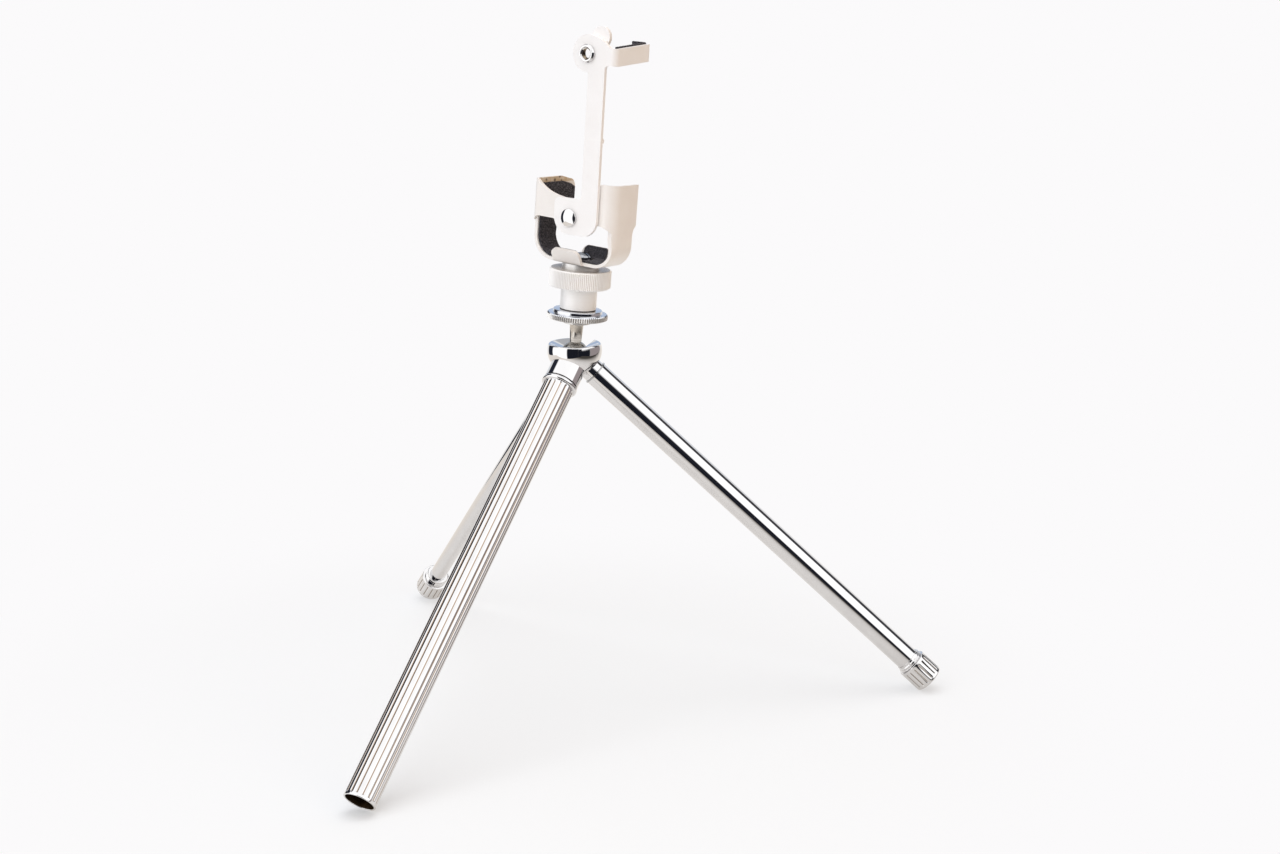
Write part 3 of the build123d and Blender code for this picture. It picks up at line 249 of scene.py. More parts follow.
def stand(piece, axis, origin=head_point, crease=35):
    """Moves a turned piece from the lathe to its own axis and smooths its curved faces."""
    turned = own_ways(axis).transposed().to_4x4()
    bpy.ops.object.select_all(action="DESELECT")
    piece.select_set(True)
    bpy.context.view_layer.objects.active = piece
    piece.matrix_world = Matrix.Translation(origin) @ turned
    bpy.ops.object.transform_apply(location=True, rotation=True, scale=True)
    bpy.ops.object.shade_smooth_by_angle(angle=radians(crease))


def turned_metal(name, axis, light, dark, rough, ring, groove_shade=None, mirror=1):
    """Metal left as the lathe cut it: fine rings round the axis that draw each highlight out to a band.
    A mirror share under one is a frosted surface, which scatters the rest of the light."""
    material, tree, shader, place = blank_material(name, axis)
    parts = add(tree, "SeparateXYZ", {0: place})
    level = add(tree, "CombineXYZ", {"X": parts.outputs["X"], "Y": parts.outputs["Y"]})
    reach = add(tree, "VectorMath", {0: level.outputs[0]}, operation="LENGTH")
    cut = add(tree, "CombineXYZ", {"X": reach.outputs["Value"], "Z": parts.outputs["Z"]})
    rings = add(tree, "TexNoise", {"Vector": cut.outputs[0], "Scale": 1 / (ring * MM), "Detail": 2})
    stain = add(tree, "TexNoise", {"Vector": place, "Scale": 1 / (3 * MM), "Detail": 4})
    shade = add(tree, "Math", {0: rings.outputs["Fac"], 1: stain.outputs["Fac"]}, operation="MULTIPLY")
    spread = add(tree, "MapRange", {"Value": shade.outputs[0], "From Min": 0.12, "From Max": 0.42})
    tone = add(
        tree, "Mix", {0: spread.outputs[0], 6: linear(light), 7: linear(dark)}, data_type="RGBA"
    )
    if groove_shade:
        tone = shade_grooves(tree, tone, groove_shade)
    gloss = add(
        tree,
        "MapRange",
        {
            "Value": rings.outputs["Fac"],
            "From Min": 0.3,
            "From Max": 0.7,
            "To Min": rough * 0.75,
            "To Max": rough * 1.25,
        },
    )
    scored = add(tree, "Bump", {"Height": rings.outputs["Fac"], "Strength": 0.25, "Distance": 0.02 * MM})
    tree.links.new(tone.outputs[2], shader.inputs["Base Color"])
    tree.links.new(gloss.outputs[0], shader.inputs["Roughness"])
    tree.links.new(scored.outputs[0], shader.inputs["Normal"])
    shader.inputs["Metallic"].default_value = mirror
    return material


stem_steel = turned_metal("turned_steel_stem", stem_way, "#D4CFC8", "#958D83", 0.1, 0.15, mirror=0.92)
ball_stem = turn(
    "ball_stem_screw",
    eased(
        (0, ball_top, 0),
        (stem_foot_r, stem_foot, 0),
        (stem_foot_r + braze, braze_end, 0),
        (stem_top_r, hub_start, 0),
        (stud_r - stud_depth, stud_start, 0.2),
        (stud_r - stud_depth, stud_end - stud_tip, 0),
        (stud_r - 2 * stud_depth, stud_end, 0),
        (0, stud_end, 0),
    ),
    LATHE_STEPS,
)
thread(ball_stem, stud_start, stud_turns, stud_pitch, stud_r - stud_depth - ROOT_SINK, stud_r)
stand(ball_stem, stem_way)
ball_stem.data.materials.append(stem_steel)
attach(ball_stem, "stem")
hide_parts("ball_stem")
nodes["ball"].material_slots[0].material = turned_metal(
    "ground_steel_ball", stem_way, "#B4B2AE", "#85827D", 0.22, 0.15, mirror=0.75
)

# Legs: three brass tubes, chromed outside, that store one inside the other. The widest is reeded on a
# draw bench and has a rolled collar; the others screw on by a stud and end in reeded feet.
fluted_way = Vector(joints["ball_lock"]["axis"])
middle_way = Vector(joints["middle_leg_unscrew"]["axis"])
thin_way = Vector(joints["thin_leg_unscrew"]["axis"])
foot_r = 5.0
outer_skin = 0.02  # points this near the outer radius belong to the outer wall
bore_skin = 0.1  # and faces this near the bore belong to the bore
reeds = 16
reed_points = 14
reed_depth = 0.28
reed_power = 2.2  # keeps a reed's crest broad and the groove beside it narrow
run_out = 0.3  # length over which a groove rises to the plain rim
open_run_out = 0.25
groove_end = 0.1  # a groove is sunk from this far inside its run-out
plain_rim = 0.9
fluted_top = 11.8
fluted_top_wall = 1.8
reed_start = fluted_top + fluted_top_wall
tube_rings = (60.0, 110.0)  # rings of edges that keep the long reeds' faces short
fluted_end = 160.0
plated_edge = 0.2  # chrome reaches this far into the open end
fluted_bore_r = 4.45
spigot_hole_r = 2.97
collar_r = 5.75
collar_length = 1.5
collar_round = 0.55
collar_seat = 0.02
COLLAR_STEPS = 96
cap_length = 8.2
neck_thread = 0.3
neck_pitch = 0.75
neck_lead = 0.1
middle_end = 157.8
middle_tube_end = 154.6
middle_recess_r = 4.05
middle_socket_r = 3.92
middle_neck_length = 2.0
middle_neck_r = 4.4
thin_end = 156.8
thin_tube_end = 153.6
thin_socket_r = 2.82
thin_neck_length = 2.4
thin_neck_r = 4.0


def reeded(piece, low, high):
    """Draws a turned piece's outer wall into convex reeds between two heights."""
    grooves = piece.data.attributes.new("groove", "FLOAT", "POINT")
    for point in piece.data.vertices:
        radius = sqrt(point.co.x**2 + point.co.y**2) / MM
        if radius < foot_r - outer_skin or not low < point.co.z / MM < high:
            continue
        share = abs((atan2(point.co.y, point.co.x) / (2 * pi) * reeds) % 1 * 2 - 1) ** reed_power
        sunk = (radius - reed_depth * share) / radius
        point.co.x *= sunk
        point.co.y *= sunk
        grooves.data[point.index].value = share


# The tan colour given here is painted shade in the bottoms of the reeds' grooves.
fluted_chrome = chrome_plate("drawn_chrome_reeds", fluted_way, (1, 1, 0.02), "#94744E")
# The bore is unplated brass; its dark browns, far darker than the plug's brass, are painted shade inside
# the tube.
shaded_bore_brass = turned_metal("unplated_brass_bore_shaded", fluted_way, "#5A4632", "#2E251C", 0.45, 0.6)
fluted_tube = turn(
    "reeded_leg_tube",
    eased(
        (spigot_hole_r, fluted_top, 0),
        (foot_r, fluted_top, 0.1),
        (foot_r, reed_start, 0),
        (foot_r, reed_start + run_out, 0),
        *[(foot_r, ring, 0) for ring in tube_rings],
        (foot_r, fluted_end - plain_rim - open_run_out, 0),
        (foot_r, fluted_end - plain_rim, 0),
        (foot_r, fluted_end, 0.14),
        (fluted_bore_r, fluted_end, 0.14),
        (fluted_bore_r, reed_start, 0),
        (spigot_hole_r, reed_start, 0),
    ),
    reeds * reed_points,
)
reeded(fluted_tube, reed_start + groove_end, fluted_end - plain_rim - groove_end)
for face in fluted_tube.data.polygons:
    middle = face.center / MM
    reach = sqrt(middle.x**2 + middle.y**2)
    if middle.z < fluted_end - plated_edge and reach < fluted_bore_r + bore_skin:
        face.material_index = 1
stand(fluted_tube, fluted_way, crease=24)
fluted_tube.data.materials.append(fluted_chrome)
fluted_tube.data.materials.append(shaded_bore_brass)
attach(fluted_tube, "fluted_leg")
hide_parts("fluted_leg_tube")

fluted_collar = turn(
    "rolled_leg_collar",
    eased(
        (foot_r + collar_seat, fluted_top, 0),
        (collar_r, fluted_top, collar_round),
        (collar_r, fluted_top + collar_length, collar_round),
        (foot_r + collar_seat, fluted_top + collar_length, 0),
    ),
    COLLAR_STEPS,
)
stand(fluted_collar, fluted_way)
fluted_collar.data.materials.append(head_chrome)
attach(fluted_collar, "fluted_leg")
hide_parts("fluted_leg_collar")


def reeded_foot(name, way, reach, neck_length, neck_r, hollow):
    """A foot cap with a reeded grip between two plain rims, and a threaded neck above it."""
    shoulder = reach - cap_length
    low = shoulder + plain_rim
    high = reach - plain_rim
    foot = turn(
        name,
        eased(
            *hollow,
            (neck_r - neck_thread, shoulder - neck_length, 0.15),
            (neck_r - neck_thread, shoulder, 0),
            (foot_r, shoulder, 0.3),
            (foot_r, low, 0),
            (foot_r, low + run_out, 0),
            (foot_r, high - run_out, 0),
            (foot_r, high, 0),
            (foot_r, reach, 0.4),
        ),
        reeds * reed_points,
    )
    reeded(foot, low + groove_end, high - groove_end)
    thread(
        foot,
        shoulder - neck_length + neck_lead,
        int(neck_length / neck_pitch),
        neck_pitch,
        neck_r - neck_thread - ROOT_SINK,
        neck_r,
    )
    stand(foot, way, crease=24)
    # The brown colour here is painted shade in the bottoms of the feet's grooves.
    foot.data.materials.append(chrome_plate(name + "_chrome", way, (1, 1, 0.1), "#7A6A58"))
    return foot


middle_foot = reeded_foot(
    "middle_leg_reeded_foot",
    middle_way,
    middle_end,
    middle_neck_length,
    middle_neck_r,
    [
        (middle_recess_r, middle_end, 0.3),
        (middle_recess_r, middle_tube_end, 0),
        (middle_socket_r, middle_tube_end, 0),
        (middle_socket_r, middle_end - cap_length - middle_neck_length, 0),
    ],
)
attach(middle_foot, "middle_leg")
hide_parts("middle_leg_foot")
thin_foot = reeded_foot(
    "thin_leg_reeded_foot",
    thin_way,
    thin_end,
    thin_neck_length,
    thin_neck_r,
    [
        (0, thin_end, 0),
        (0, thin_tube_end, 0),
        (thin_socket_r, thin_tube_end, 0),
        (thin_socket_r, thin_end - cap_length - thin_neck_length, 0),
    ],
)
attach(thin_foot, "thin_leg")
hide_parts("thin_leg_foot")

plug_brass = turned_metal("turned_brass_plug", fluted_way, "#D9B96F", "#9A7B3C", 0.25, 0.2)
for name in ("fluted_leg_plug", "thrust_pad"):
    nodes[name].material_slots[0].material = plug_brass
for leg, way in (("middle_leg", middle_way), ("thin_leg", thin_way)):
    steel = turned_metal(f"{leg}_turned_steel", way, "#C9C9CB", "#8F8E8E", 0.22, 0.2)
    tube_chrome = chrome_plate(f"{leg}_drawn_chrome", way, (1, 1, 0.02))
    nodes[f"{leg}_stud"].material_slots[0].material = steel
    nodes[f"{leg}_washer"].material_slots[0].material = steel
    nodes[f"{leg}_tube"].material_slots[0].material = tube_chrome

# Platform disc: a knurled lock nut turned from brass and nickelled, with a hub below and a raised step
# above, and on it a thin washer of dark vulcanised fibre.
disc_teeth = 80
disc_r = 9.55
disc_start = 11.3
disc_end = 13.2
disc_hole_r = 3.25
hub_r = 4.4
step_r = 7.75
step_end = 14.4
tooth_points = 4
knurl_depth = 0.28
knurl_edge = 0.2  # the knurl begins this far inside the rim's faces
tooth_lead = 0.05
disc_rim = 0.3
disc_edge = 0.35
rim_width = 0.4  # faces this near the rim belong to the knurl


def knurled(piece, teeth, radius, low, high):
    """Rolls straight teeth into the rim of a turned piece between two heights."""
    grooves = piece.data.attributes.new("groove", "FLOAT", "POINT")
    for point in piece.data.vertices:
        reach = sqrt(point.co.x**2 + point.co.y**2) / MM
        if reach < radius - outer_skin or not low < point.co.z / MM < high:
            continue
        share = abs((atan2(point.co.y, point.co.x) / (2 * pi) * teeth) % 1 * 2 - 1)
        sunk = 1 - knurl_depth * share / radius
        point.co.x *= sunk
        point.co.y *= sunk
        grooves.data[point.index].value = share


platform_disc = turn(
    "knurled_platform_disc",
    eased(
        (disc_hole_r, hub_start, 0.2),
        (hub_r, hub_start, 0.2),
        (hub_r, disc_start, 0),
        (disc_r - 2 * disc_rim, disc_start, 0),
        (disc_r, disc_start + disc_rim, 0),
        (disc_r, disc_start + disc_rim + tooth_lead, 0),
        (disc_r, disc_end - disc_rim - tooth_lead, 0),
        (disc_r, disc_end - disc_rim, 0),
        (disc_r - disc_edge, disc_end, 0),
        (step_r, disc_end, 0.15),
        (step_r, step_end, 0.35),
        (disc_hole_r, step_end, 0.2),
    ),
    disc_teeth * tooth_points,
)
knurled(platform_disc, disc_teeth, disc_r, disc_start + knurl_edge, disc_end - knurl_edge)
for face in platform_disc.data.polygons:
    middle = face.center / MM
    on_rim = sqrt(middle.x**2 + middle.y**2) > disc_r - rim_width
    if middle.z < disc_end - knurl_edge and (on_rim or middle.z < disc_start + knurl_edge):
        face.material_index = 1
stand(platform_disc, stem_way, crease=20)
platform_disc.data.materials.append(
    turned_metal("bright_nickel_disc", stem_way, "#E3E4E8", "#C9CACF", 0.16, 0.2)
)
# The knurl's dark brown colour is painted shade in the bottoms of its grooves.
platform_disc.data.materials.append(
    turned_metal("satin_nickel_knurl", stem_way, "#F0EEEC", "#DAD7D4", 0.3, 0.2, "#3E3833", 0.5)
)
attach(platform_disc, "disc")
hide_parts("platform_disc")


def vulcanised_fibre(name):
    """Dark vulcanised fibre: pressed paper, matt and faintly mottled, with a soft edge sheen."""
    material, tree, shader, place = blank_material(name, stem_way)
    mottle = add(tree, "TexNoise", {"Vector": place, "Scale": 1 / (0.6 * MM), "Detail": 5})
    tone = add(
        tree,
        "Mix",
        {0: mottle.outputs["Fac"], 6: linear("#2C2826"), 7: linear("#4B4440")},
        data_type="RGBA",
    )
    grain = add(tree, "Bump", {"Height": mottle.outputs["Fac"], "Strength": 0.3, "Distance": 0.03 * MM})
    tree.links.new(tone.outputs[2], shader.inputs["Base Color"])
    tree.links.new(grain.outputs[0], shader.inputs["Normal"])
    shader.inputs["Roughness"].default_value = 0.55
    return material


nodes["platform_washer"].material_slots[0].material = vulcanised_fibre("dark_vulcanised_fibre")

# Sleeve, ring and neck: the clamp's foot. The sleeve and the knurled ring screwed onto it are turned
# from aluminium and frosted. A brass nut in the sleeve takes the camera screw, and a steel neck turns
# inside the ring.
ring_teeth = 100
ring_r = 9.75
ring_start = 21.5
ring_end = 27.3
ring_rim = 0.4
ring_edge = 0.5
ring_bore_r = 7.2
ring_ceiling = 25.2
neck_hole_r = 5.9
top_skin = 0.05  # faces this near the ring's top are its faced top
# The grey colour here is painted shade in the bottoms of the ring's knurl grooves.
satin_aluminium = turned_metal(
    "frosted_aluminium", stem_way, "#FBFAF9", "#F5F3F1", 0.46, 0.12, "#DCD7D2", 0.12
)
knurled_ring = turn(
    "knurled_clamp_ring",
    eased(
        (neck_hole_r, ring_end, 0.15),
        (neck_hole_r, ring_ceiling, 0),
        (ring_bore_r, ring_ceiling, 0),
        (ring_bore_r, ring_start, 0.15),
        (ring_r - ring_edge, ring_start, 0.1),
        (ring_r, ring_start + ring_rim, 0),
        (ring_r, ring_start + ring_rim + tooth_lead, 0),
        (ring_r, ring_end - ring_rim - tooth_lead, 0),
        (ring_r, ring_end - ring_rim, 0),
        (ring_r - ring_edge, ring_end, 0.1),
    ),
    ring_teeth * tooth_points,
)
knurled(knurled_ring, ring_teeth, ring_r, ring_start + knurl_edge, ring_end - knurl_edge)
# The ring's top face gets a darker grey copy of the aluminium: painted shade under the clamp.
for face in knurled_ring.data.polygons:
    middle = face.center / MM
    if middle.z > ring_end - top_skin and sqrt(middle.x**2 + middle.y**2) < ring_r - ring_edge:
        face.material_index = 1
stand(knurled_ring, stem_way, crease=20)
knurled_ring.data.materials.append(satin_aluminium)
knurled_ring.data.materials.append(
    turned_metal("shaded_aluminium_top", stem_way, "#BFB7AF", "#98908A", 0.3, 0.25, mirror=0.3)
)
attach(knurled_ring, "sleeve")
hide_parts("knurled_ring")
nodes["clamp_sleeve"].material_slots[0].material = satin_aluminium
nodes["sleeve_nut"].material_slots[0].material = turned_metal(
    "turned_brass_nut", stem_way, "#D9B96F", "#9A7B3C", 0.25, 0.2
)
bright_steel = turned_metal(
    "bright_turned_steel", stem_way, "#F2F1F0", "#D4D2D0", 0.36, 0.25, mirror=0.7
)
nodes["neck_bush"].material_slots[0].material = bright_steel

# Saddle: one piece of steel sheet, pressed to a U strip with two lips and a band with a front plate.
# Its edges are deburred, and it is sprayed with a satin pearl paint; old glue shows above the left felt.
sheet = 1.0
deburr = 0.14
flat_angle = radians(0.8)  # triangles that turn less than this are one face
edge_angle = radians(35)  # edges sharper than this are deburred
glue_side = (-15.4, -15.1)  # across, from the wall's outside inward
glue_foot = (52.0, 52.4)  # up, from the felt's edge
left_wall_inside = -13.9
left_wall_front = -4.9


def copied(node, name):
    """A piece that starts as a copy of a node's shape, with its loose triangles joined to whole faces."""
    bpy.ops.object.select_all(action="DESELECT")
    piece = bpy.data.objects.new(name, nodes[node].data.copy())
    piece.data.name = name
    piece.data.materials.clear()
    bpy.context.collection.objects.link(piece)
    piece.select_set(True)
    bpy.context.view_layer.objects.active = piece
    bpy.ops.mesh.customdata_custom_splitnormals_clear()
    bpy.ops.object.mode_set(mode="EDIT")
    bpy.ops.mesh.select_all(action="SELECT")
    bpy.ops.mesh.remove_doubles(threshold=2 * WELD)
    bpy.ops.mesh.dissolve_limited(angle_limit=flat_angle)
    bpy.ops.object.mode_set(mode="OBJECT")
    return piece


def deburred(piece, width):
    """Rounds the sharp edges of a sheet piece and keeps its flat faces flat."""
    bpy.ops.object.select_all(action="DESELECT")
    piece.select_set(True)
    bpy.context.view_layer.objects.active = piece
    edges = piece.modifiers.new("deburred_edges", "BEVEL")
    edges.width = width * MM
    edges.segments = 3
    edges.limit_method = "ANGLE"
    edges.angle_limit = edge_angle
    bpy.ops.object.modifier_apply(modifier=edges.name)
    bpy.ops.object.shade_smooth_by_angle(angle=edge_angle)
    flats = piece.modifiers.new("flat_faces", "WEIGHTED_NORMAL")
    flats.keep_sharp = True
    bpy.ops.object.modifier_apply(modifier=flats.name)


def pearl_paint(name, light, dark):
    """Satin pearl paint on sheet: a warm white whose fine flakes glow softly, faintly pebbled."""
    material, tree, shader, place = blank_material(name, stem_way)
    # Flakes are really 0.03 mm; they are drawn 0.12 mm wide to show.
    flakes = add(tree, "TexNoise", {"Vector": place, "Scale": 1 / (0.12 * MM), "Detail": 1})
    cloud = add(tree, "TexNoise", {"Vector": place, "Scale": 1 / (7 * MM), "Detail": 3})
    both = add(tree, "Math", {0: flakes.outputs["Fac"], 1: cloud.outputs["Fac"]}, operation="MULTIPLY")
    glow = add(tree, "MapRange", {"Value": both.outputs[0], "From Min": 0.1, "From Max": 0.42})
    tone = add(
        tree, "Mix", {0: glow.outputs[0], 6: linear(dark), 7: linear(light)}, data_type="RGBA"
    )
    # Old glue has yellowed the bare strip above the felt of the left wall, and spots of it have gone dark.
    parts = add(tree, "SeparateXYZ", {0: place})
    ramps = []
    for way, (first, last) in (("X", glue_side), ("Z", glue_foot)):
        limits = {"Value": parts.outputs[way], "From Min": first * MM, "From Max": last * MM}
        ramps.append(add(tree, "MapRange", limits).outputs[0])
    leftward = add(tree, "Math", {0: parts.outputs["X"], 1: left_wall_inside * MM}, operation="LESS_THAN")
    behind = add(tree, "Math", {0: parts.outputs["Y"], 1: left_wall_front * MM}, operation="GREATER_THAN")
    strip = add(tree, "Math", {0: ramps[0], 1: ramps[1]}, operation="MULTIPLY")
    wall = add(tree, "Math", {0: leftward.outputs[0], 1: behind.outputs[0]}, operation="MULTIPLY")
    glued = add(tree, "Math", {0: strip.outputs[0], 1: wall.outputs[0]}, operation="MULTIPLY")
    blotch = add(tree, "TexNoise", {"Vector": place, "Scale": 1 / (1.4 * MM), "Detail": 4})
    yellow = add(
        tree,
        "MapRange",
        {"Value": blotch.outputs["Fac"], "From Min": 0.25, "From Max": 0.6, "To Min": 0.45, "To Max": 1},
    )
    tanned = add(tree, "Math", {0: glued.outputs[0], 1: yellow.outputs[0]}, operation="MULTIPLY")
    aged = add(
        tree, "Mix", {0: tanned.outputs[0], 6: tone.outputs[2], 7: linear("#CDB592")}, data_type="RGBA"
    )
    spots = add(tree, "TexVoronoi", {"Vector": place, "Scale": 1 / (2.6 * MM)})
    spot = add(
        tree,
        "MapRange",
        {"Value": spots.outputs["Distance"], "From Min": 0.2, "From Max": 0.3, "To Min": 0.9, "To Max": 0},
    )
    blackened = add(tree, "Math", {0: glued.outputs[0], 1: spot.outputs[0]}, operation="MULTIPLY")
    stained = add(
        tree,
        "Mix",
        {0: blackened.outputs[0], 6: aged.outputs[2], 7: linear("#4A382A")},
        data_type="RGBA",
    )
    gloss = add(
        tree,
        "MapRange",
        {"Value": flakes.outputs["Fac"], "From Min": 0.3, "From Max": 0.7, "To Min": 0.3, "To Max": 0.42},
    )
    pebble = add(tree, "TexNoise", {"Vector": place, "Scale": 1 / (0.5 * MM), "Detail": 2})
    peel = add(tree, "Bump", {"Height": pebble.outputs["Fac"], "Strength": 0.08, "Distance": 0.02 * MM})
    tree.links.new(stained.outputs[2], shader.inputs["Base Color"])
    tree.links.new(gloss.outputs[0], shader.inputs["Roughness"])
    tree.links.new(peel.outputs[0], shader.inputs["Normal"])
    shader.inputs["Coat Weight"].default_value = 0.2
    shader.inputs["Coat Roughness"].default_value = 0.25
    return material


def clamp_place(point):
    """A point in the clamp's own directions, in millimetres: across, toward the back and up the stem."""
    return own_ways(stem_way) @ (point - head_point) / MM


def swept(back, up, arc_r):
    """How far the right wall stands inward where its flat strip runs up into the bend."""
    share = min(max((up - sweep_foot) / (bend_foot - sweep_foot), 0), 1)
    reach = min(max(bend_back - back, 0), arc_r)
    return (arc_r - sqrt(arc_r**2 - reach**2)) * share**2 * (3 - 2 * share)


def sliced(piece, point, way, front_only):
    """Cuts new edges into the faces of the right wall, along a plane."""
    bpy.ops.object.mode_set(mode="OBJECT")
    for face in piece.data.polygons:
        across, back, up = clamp_place(face.center)
        face.select = across > corner_across and (back < bend_back or not front_only)
    bpy.ops.object.mode_set(mode="EDIT")
    bpy.ops.mesh.bisect(plane_co=point, plane_no=way, threshold=WELD)


bend_outer_r = 4.0
bend_back = -2.2
bend_across = 11.5
bend_foot = 39.3
sweep_foot = 32.0
sweep_cuts = (33.0, 34.0, 35.0, 36.0, 37.0, 38.0, 38.7)
corner_across = 8.3
corner_up = 36.3
corner_outer_r = 7.2
touch = 0.004  # points this near a surface lie on it
wall_touch = 0.03  # the same where a cut edge spans a curve
seam = 0.012  # points this near across the bend's foot are one
across_way = stem_way.cross(front_way)
# The saddle's pearl paint is drawn a shade darker and warmer than the arm's: painted shade on the plate and
# the walls.
saddle_paint = pearl_paint("satin_pearl_paint", "#F6F2EE", "#EFE9E4")
saddle = copied("saddle", "pressed_saddle")
stops = [bend_back]
for point in saddle.data.vertices:
    across, back, up = clamp_place(point.co)
    reach = sqrt((across - bend_across) ** 2 + (back - bend_back) ** 2)
    on_arc = min(abs(reach - bend_outer_r), abs(reach - bend_outer_r + sheet)) < touch
    if on_arc and abs(up - bend_foot) < touch and all(abs(back - stop) > touch for stop in stops):
        stops.append(back)
bpy.ops.object.mode_set(mode="EDIT")
bpy.ops.mesh.select_mode(type="FACE")
for stop in stops:
    sliced(saddle, head_point - front_way * stop * MM, front_way, False)
for up in sweep_cuts:
    sliced(saddle, head_point + stem_way * up * MM, stem_way, True)
bpy.ops.object.mode_set(mode="OBJECT")
for face in saddle.data.polygons:
    across, back, up = clamp_place(face.center)
    level = abs(face.normal.dot(stem_way)) > 0.99 and abs(up - bend_foot) < touch
    face.select = level and across > bend_across and back < bend_back
bpy.ops.object.mode_set(mode="EDIT")
bpy.ops.mesh.delete(type="ONLY_FACE")
bpy.ops.object.mode_set(mode="OBJECT")
for point in saddle.data.vertices:
    across, back, up = clamp_place(point.co)
    if across < corner_across or back > bend_back or up > bend_foot + touch:
        continue
    reach = sqrt((across - corner_across) ** 2 + min(up - corner_up, 0) ** 2)
    room = wall_touch if up < bend_foot - touch else touch
    for arc_r, wall_r in ((bend_outer_r, corner_outer_r), (bend_outer_r - sheet, corner_outer_r - sheet)):
        if abs(reach - wall_r) < room:
            point.co -= across_way * swept(back, up, arc_r) * MM
            break
bpy.ops.object.mode_set(mode="EDIT")
bpy.ops.mesh.select_mode(type="VERT")
bpy.ops.mesh.select_all(action="DESELECT")
bpy.ops.object.mode_set(mode="OBJECT")
for point in saddle.data.vertices:
    across, back, up = clamp_place(point.co)
    point.select = across > bend_across and abs(up - bend_foot) < touch
bpy.ops.object.mode_set(mode="EDIT")
bpy.ops.mesh.remove_doubles(threshold=seam * MM)
bpy.ops.object.mode_set(mode="OBJECT")
deburred(saddle, deburr)
saddle.data.materials.append(saddle_paint)
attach(saddle, "saddle")
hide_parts("saddle")

# Felt linings: pressed wool felt cut from sheet and glued into the saddle, behind its plate, inside its
# lips and in the claw. The cut edges have gone soft, and lint clings to the nap.
felt_voxel = 0.17


def pressed_felt(name, node):
    """A felt piece: its cut blank made soft at the edges, with a nap that stands up unevenly."""
    piece = copied(node, name)
    fibres = bpy.data.textures.new(name + "_nap", "CLOUDS")
    fibres.noise_scale = 0.45 * MM
    fibres.noise_depth = 2
    blank = piece.modifiers.new("blank", "REMESH")
    blank.mode = "VOXEL"
    blank.voxel_size = felt_voxel * MM
    bpy.ops.object.modifier_apply(modifier=blank.name)
    worn = piece.modifiers.new("worn_edges", "SMOOTH")
    worn.factor = 0.5
    worn.iterations = 3
    bpy.ops.object.modifier_apply(modifier=worn.name)
    nap = piece.modifiers.new("nap", "DISPLACE")
    nap.texture = fibres
    nap.strength = 0.16 * MM
    nap.mid_level = 0.62
    bpy.ops.object.modifier_apply(modifier=nap.name)
    bpy.ops.object.shade_smooth()
    return piece


def wool_felt(name):
    """Charcoal wool felt: matt, with matted fibres, paler tips that catch the light and bits of lint."""
    material, tree, shader, place = blank_material(name, stem_way)
    strands = add(tree, "VectorMath", {0: place, 1: (1, 0.3, 0.45)}, operation="MULTIPLY")
    # Fibres are really 0.03 mm thick; they are drawn 0.16 mm thick to show.
    fibres = add(
        tree,
        "TexNoise",
        {"Vector": strands.outputs[0], "Scale": 1 / (0.16 * MM), "Detail": 3, "Distortion": 0.8},
    )
    tips = add(tree, "MapRange", {"Value": fibres.outputs["Fac"], "From Min": 0.42, "From Max": 0.68})
    tone = add(
        tree, "Mix", {0: tips.outputs[0], 6: linear("#232226"), 7: linear("#646268")}, data_type="RGBA"
    )
    lint = add(tree, "TexVoronoi", {"Vector": place, "Scale": 1 / (4 * MM)})
    speck = add(
        tree,
        "MapRange",
        {"Value": lint.outputs["Distance"], "From Min": 0.04, "From Max": 0.07, "To Min": 0.9, "To Max": 0},
    )
    linted = add(
        tree, "Mix", {0: speck.outputs[0], 6: tone.outputs[2], 7: linear("#D8D3CB")}, data_type="RGBA"
    )
    matted = add(tree, "Bump", {"Height": fibres.outputs["Fac"], "Strength": 0.6, "Distance": 0.08 * MM})
    tree.links.new(linted.outputs[2], shader.inputs["Base Color"])
    tree.links.new(matted.outputs[0], shader.inputs["Normal"])
    shader.inputs["Roughness"].default_value = 0.95
    shader.inputs["Specular IOR Level"].default_value = 0.2
    shader.inputs["Sheen Weight"].default_value = 0.25
    shader.inputs["Sheen Roughness"].default_value = 0.4
    shader.inputs["Sheen Tint"].default_value = linear("#A7A3A8")
    return material


felt = wool_felt("charcoal_wool_felt")
saddle_lining = pressed_felt("felt_saddle_lining", "saddle_felt")
for point in saddle_lining.data.vertices:
    across, back, up = clamp_place(point.co)
    if across > corner_across:
        point.co -= across_way * swept(back, up, bend_outer_r - sheet) * MM
saddle_lining.data.materials.append(felt)
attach(saddle_lining, "saddle")
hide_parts("saddle_felt")
plate_lining = pressed_felt("felt_plate_lining", "plate_felt")
plate_lining.data.materials.append(felt)
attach(plate_lining, "saddle")
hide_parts("plate_felt")
lip_linings = pressed_felt("felt_lip_linings", "lip_felts")
lip_linings.data.materials.append(felt)
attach(lip_linings, "saddle")
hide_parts("lip_felts")
nodes["clamp_screw"].material_slots[0].material = turned_metal(
    "nickelled_screw", stem_way, "#B4B6BA", "#85868A", 0.09, 0.2
)
nodes["swivel_washer"].material_slots[0].material = turned_metal(
    "stamped_steel_washer", stem_way, "#A09D9A", "#6C6966", 0.28, 0.3
)

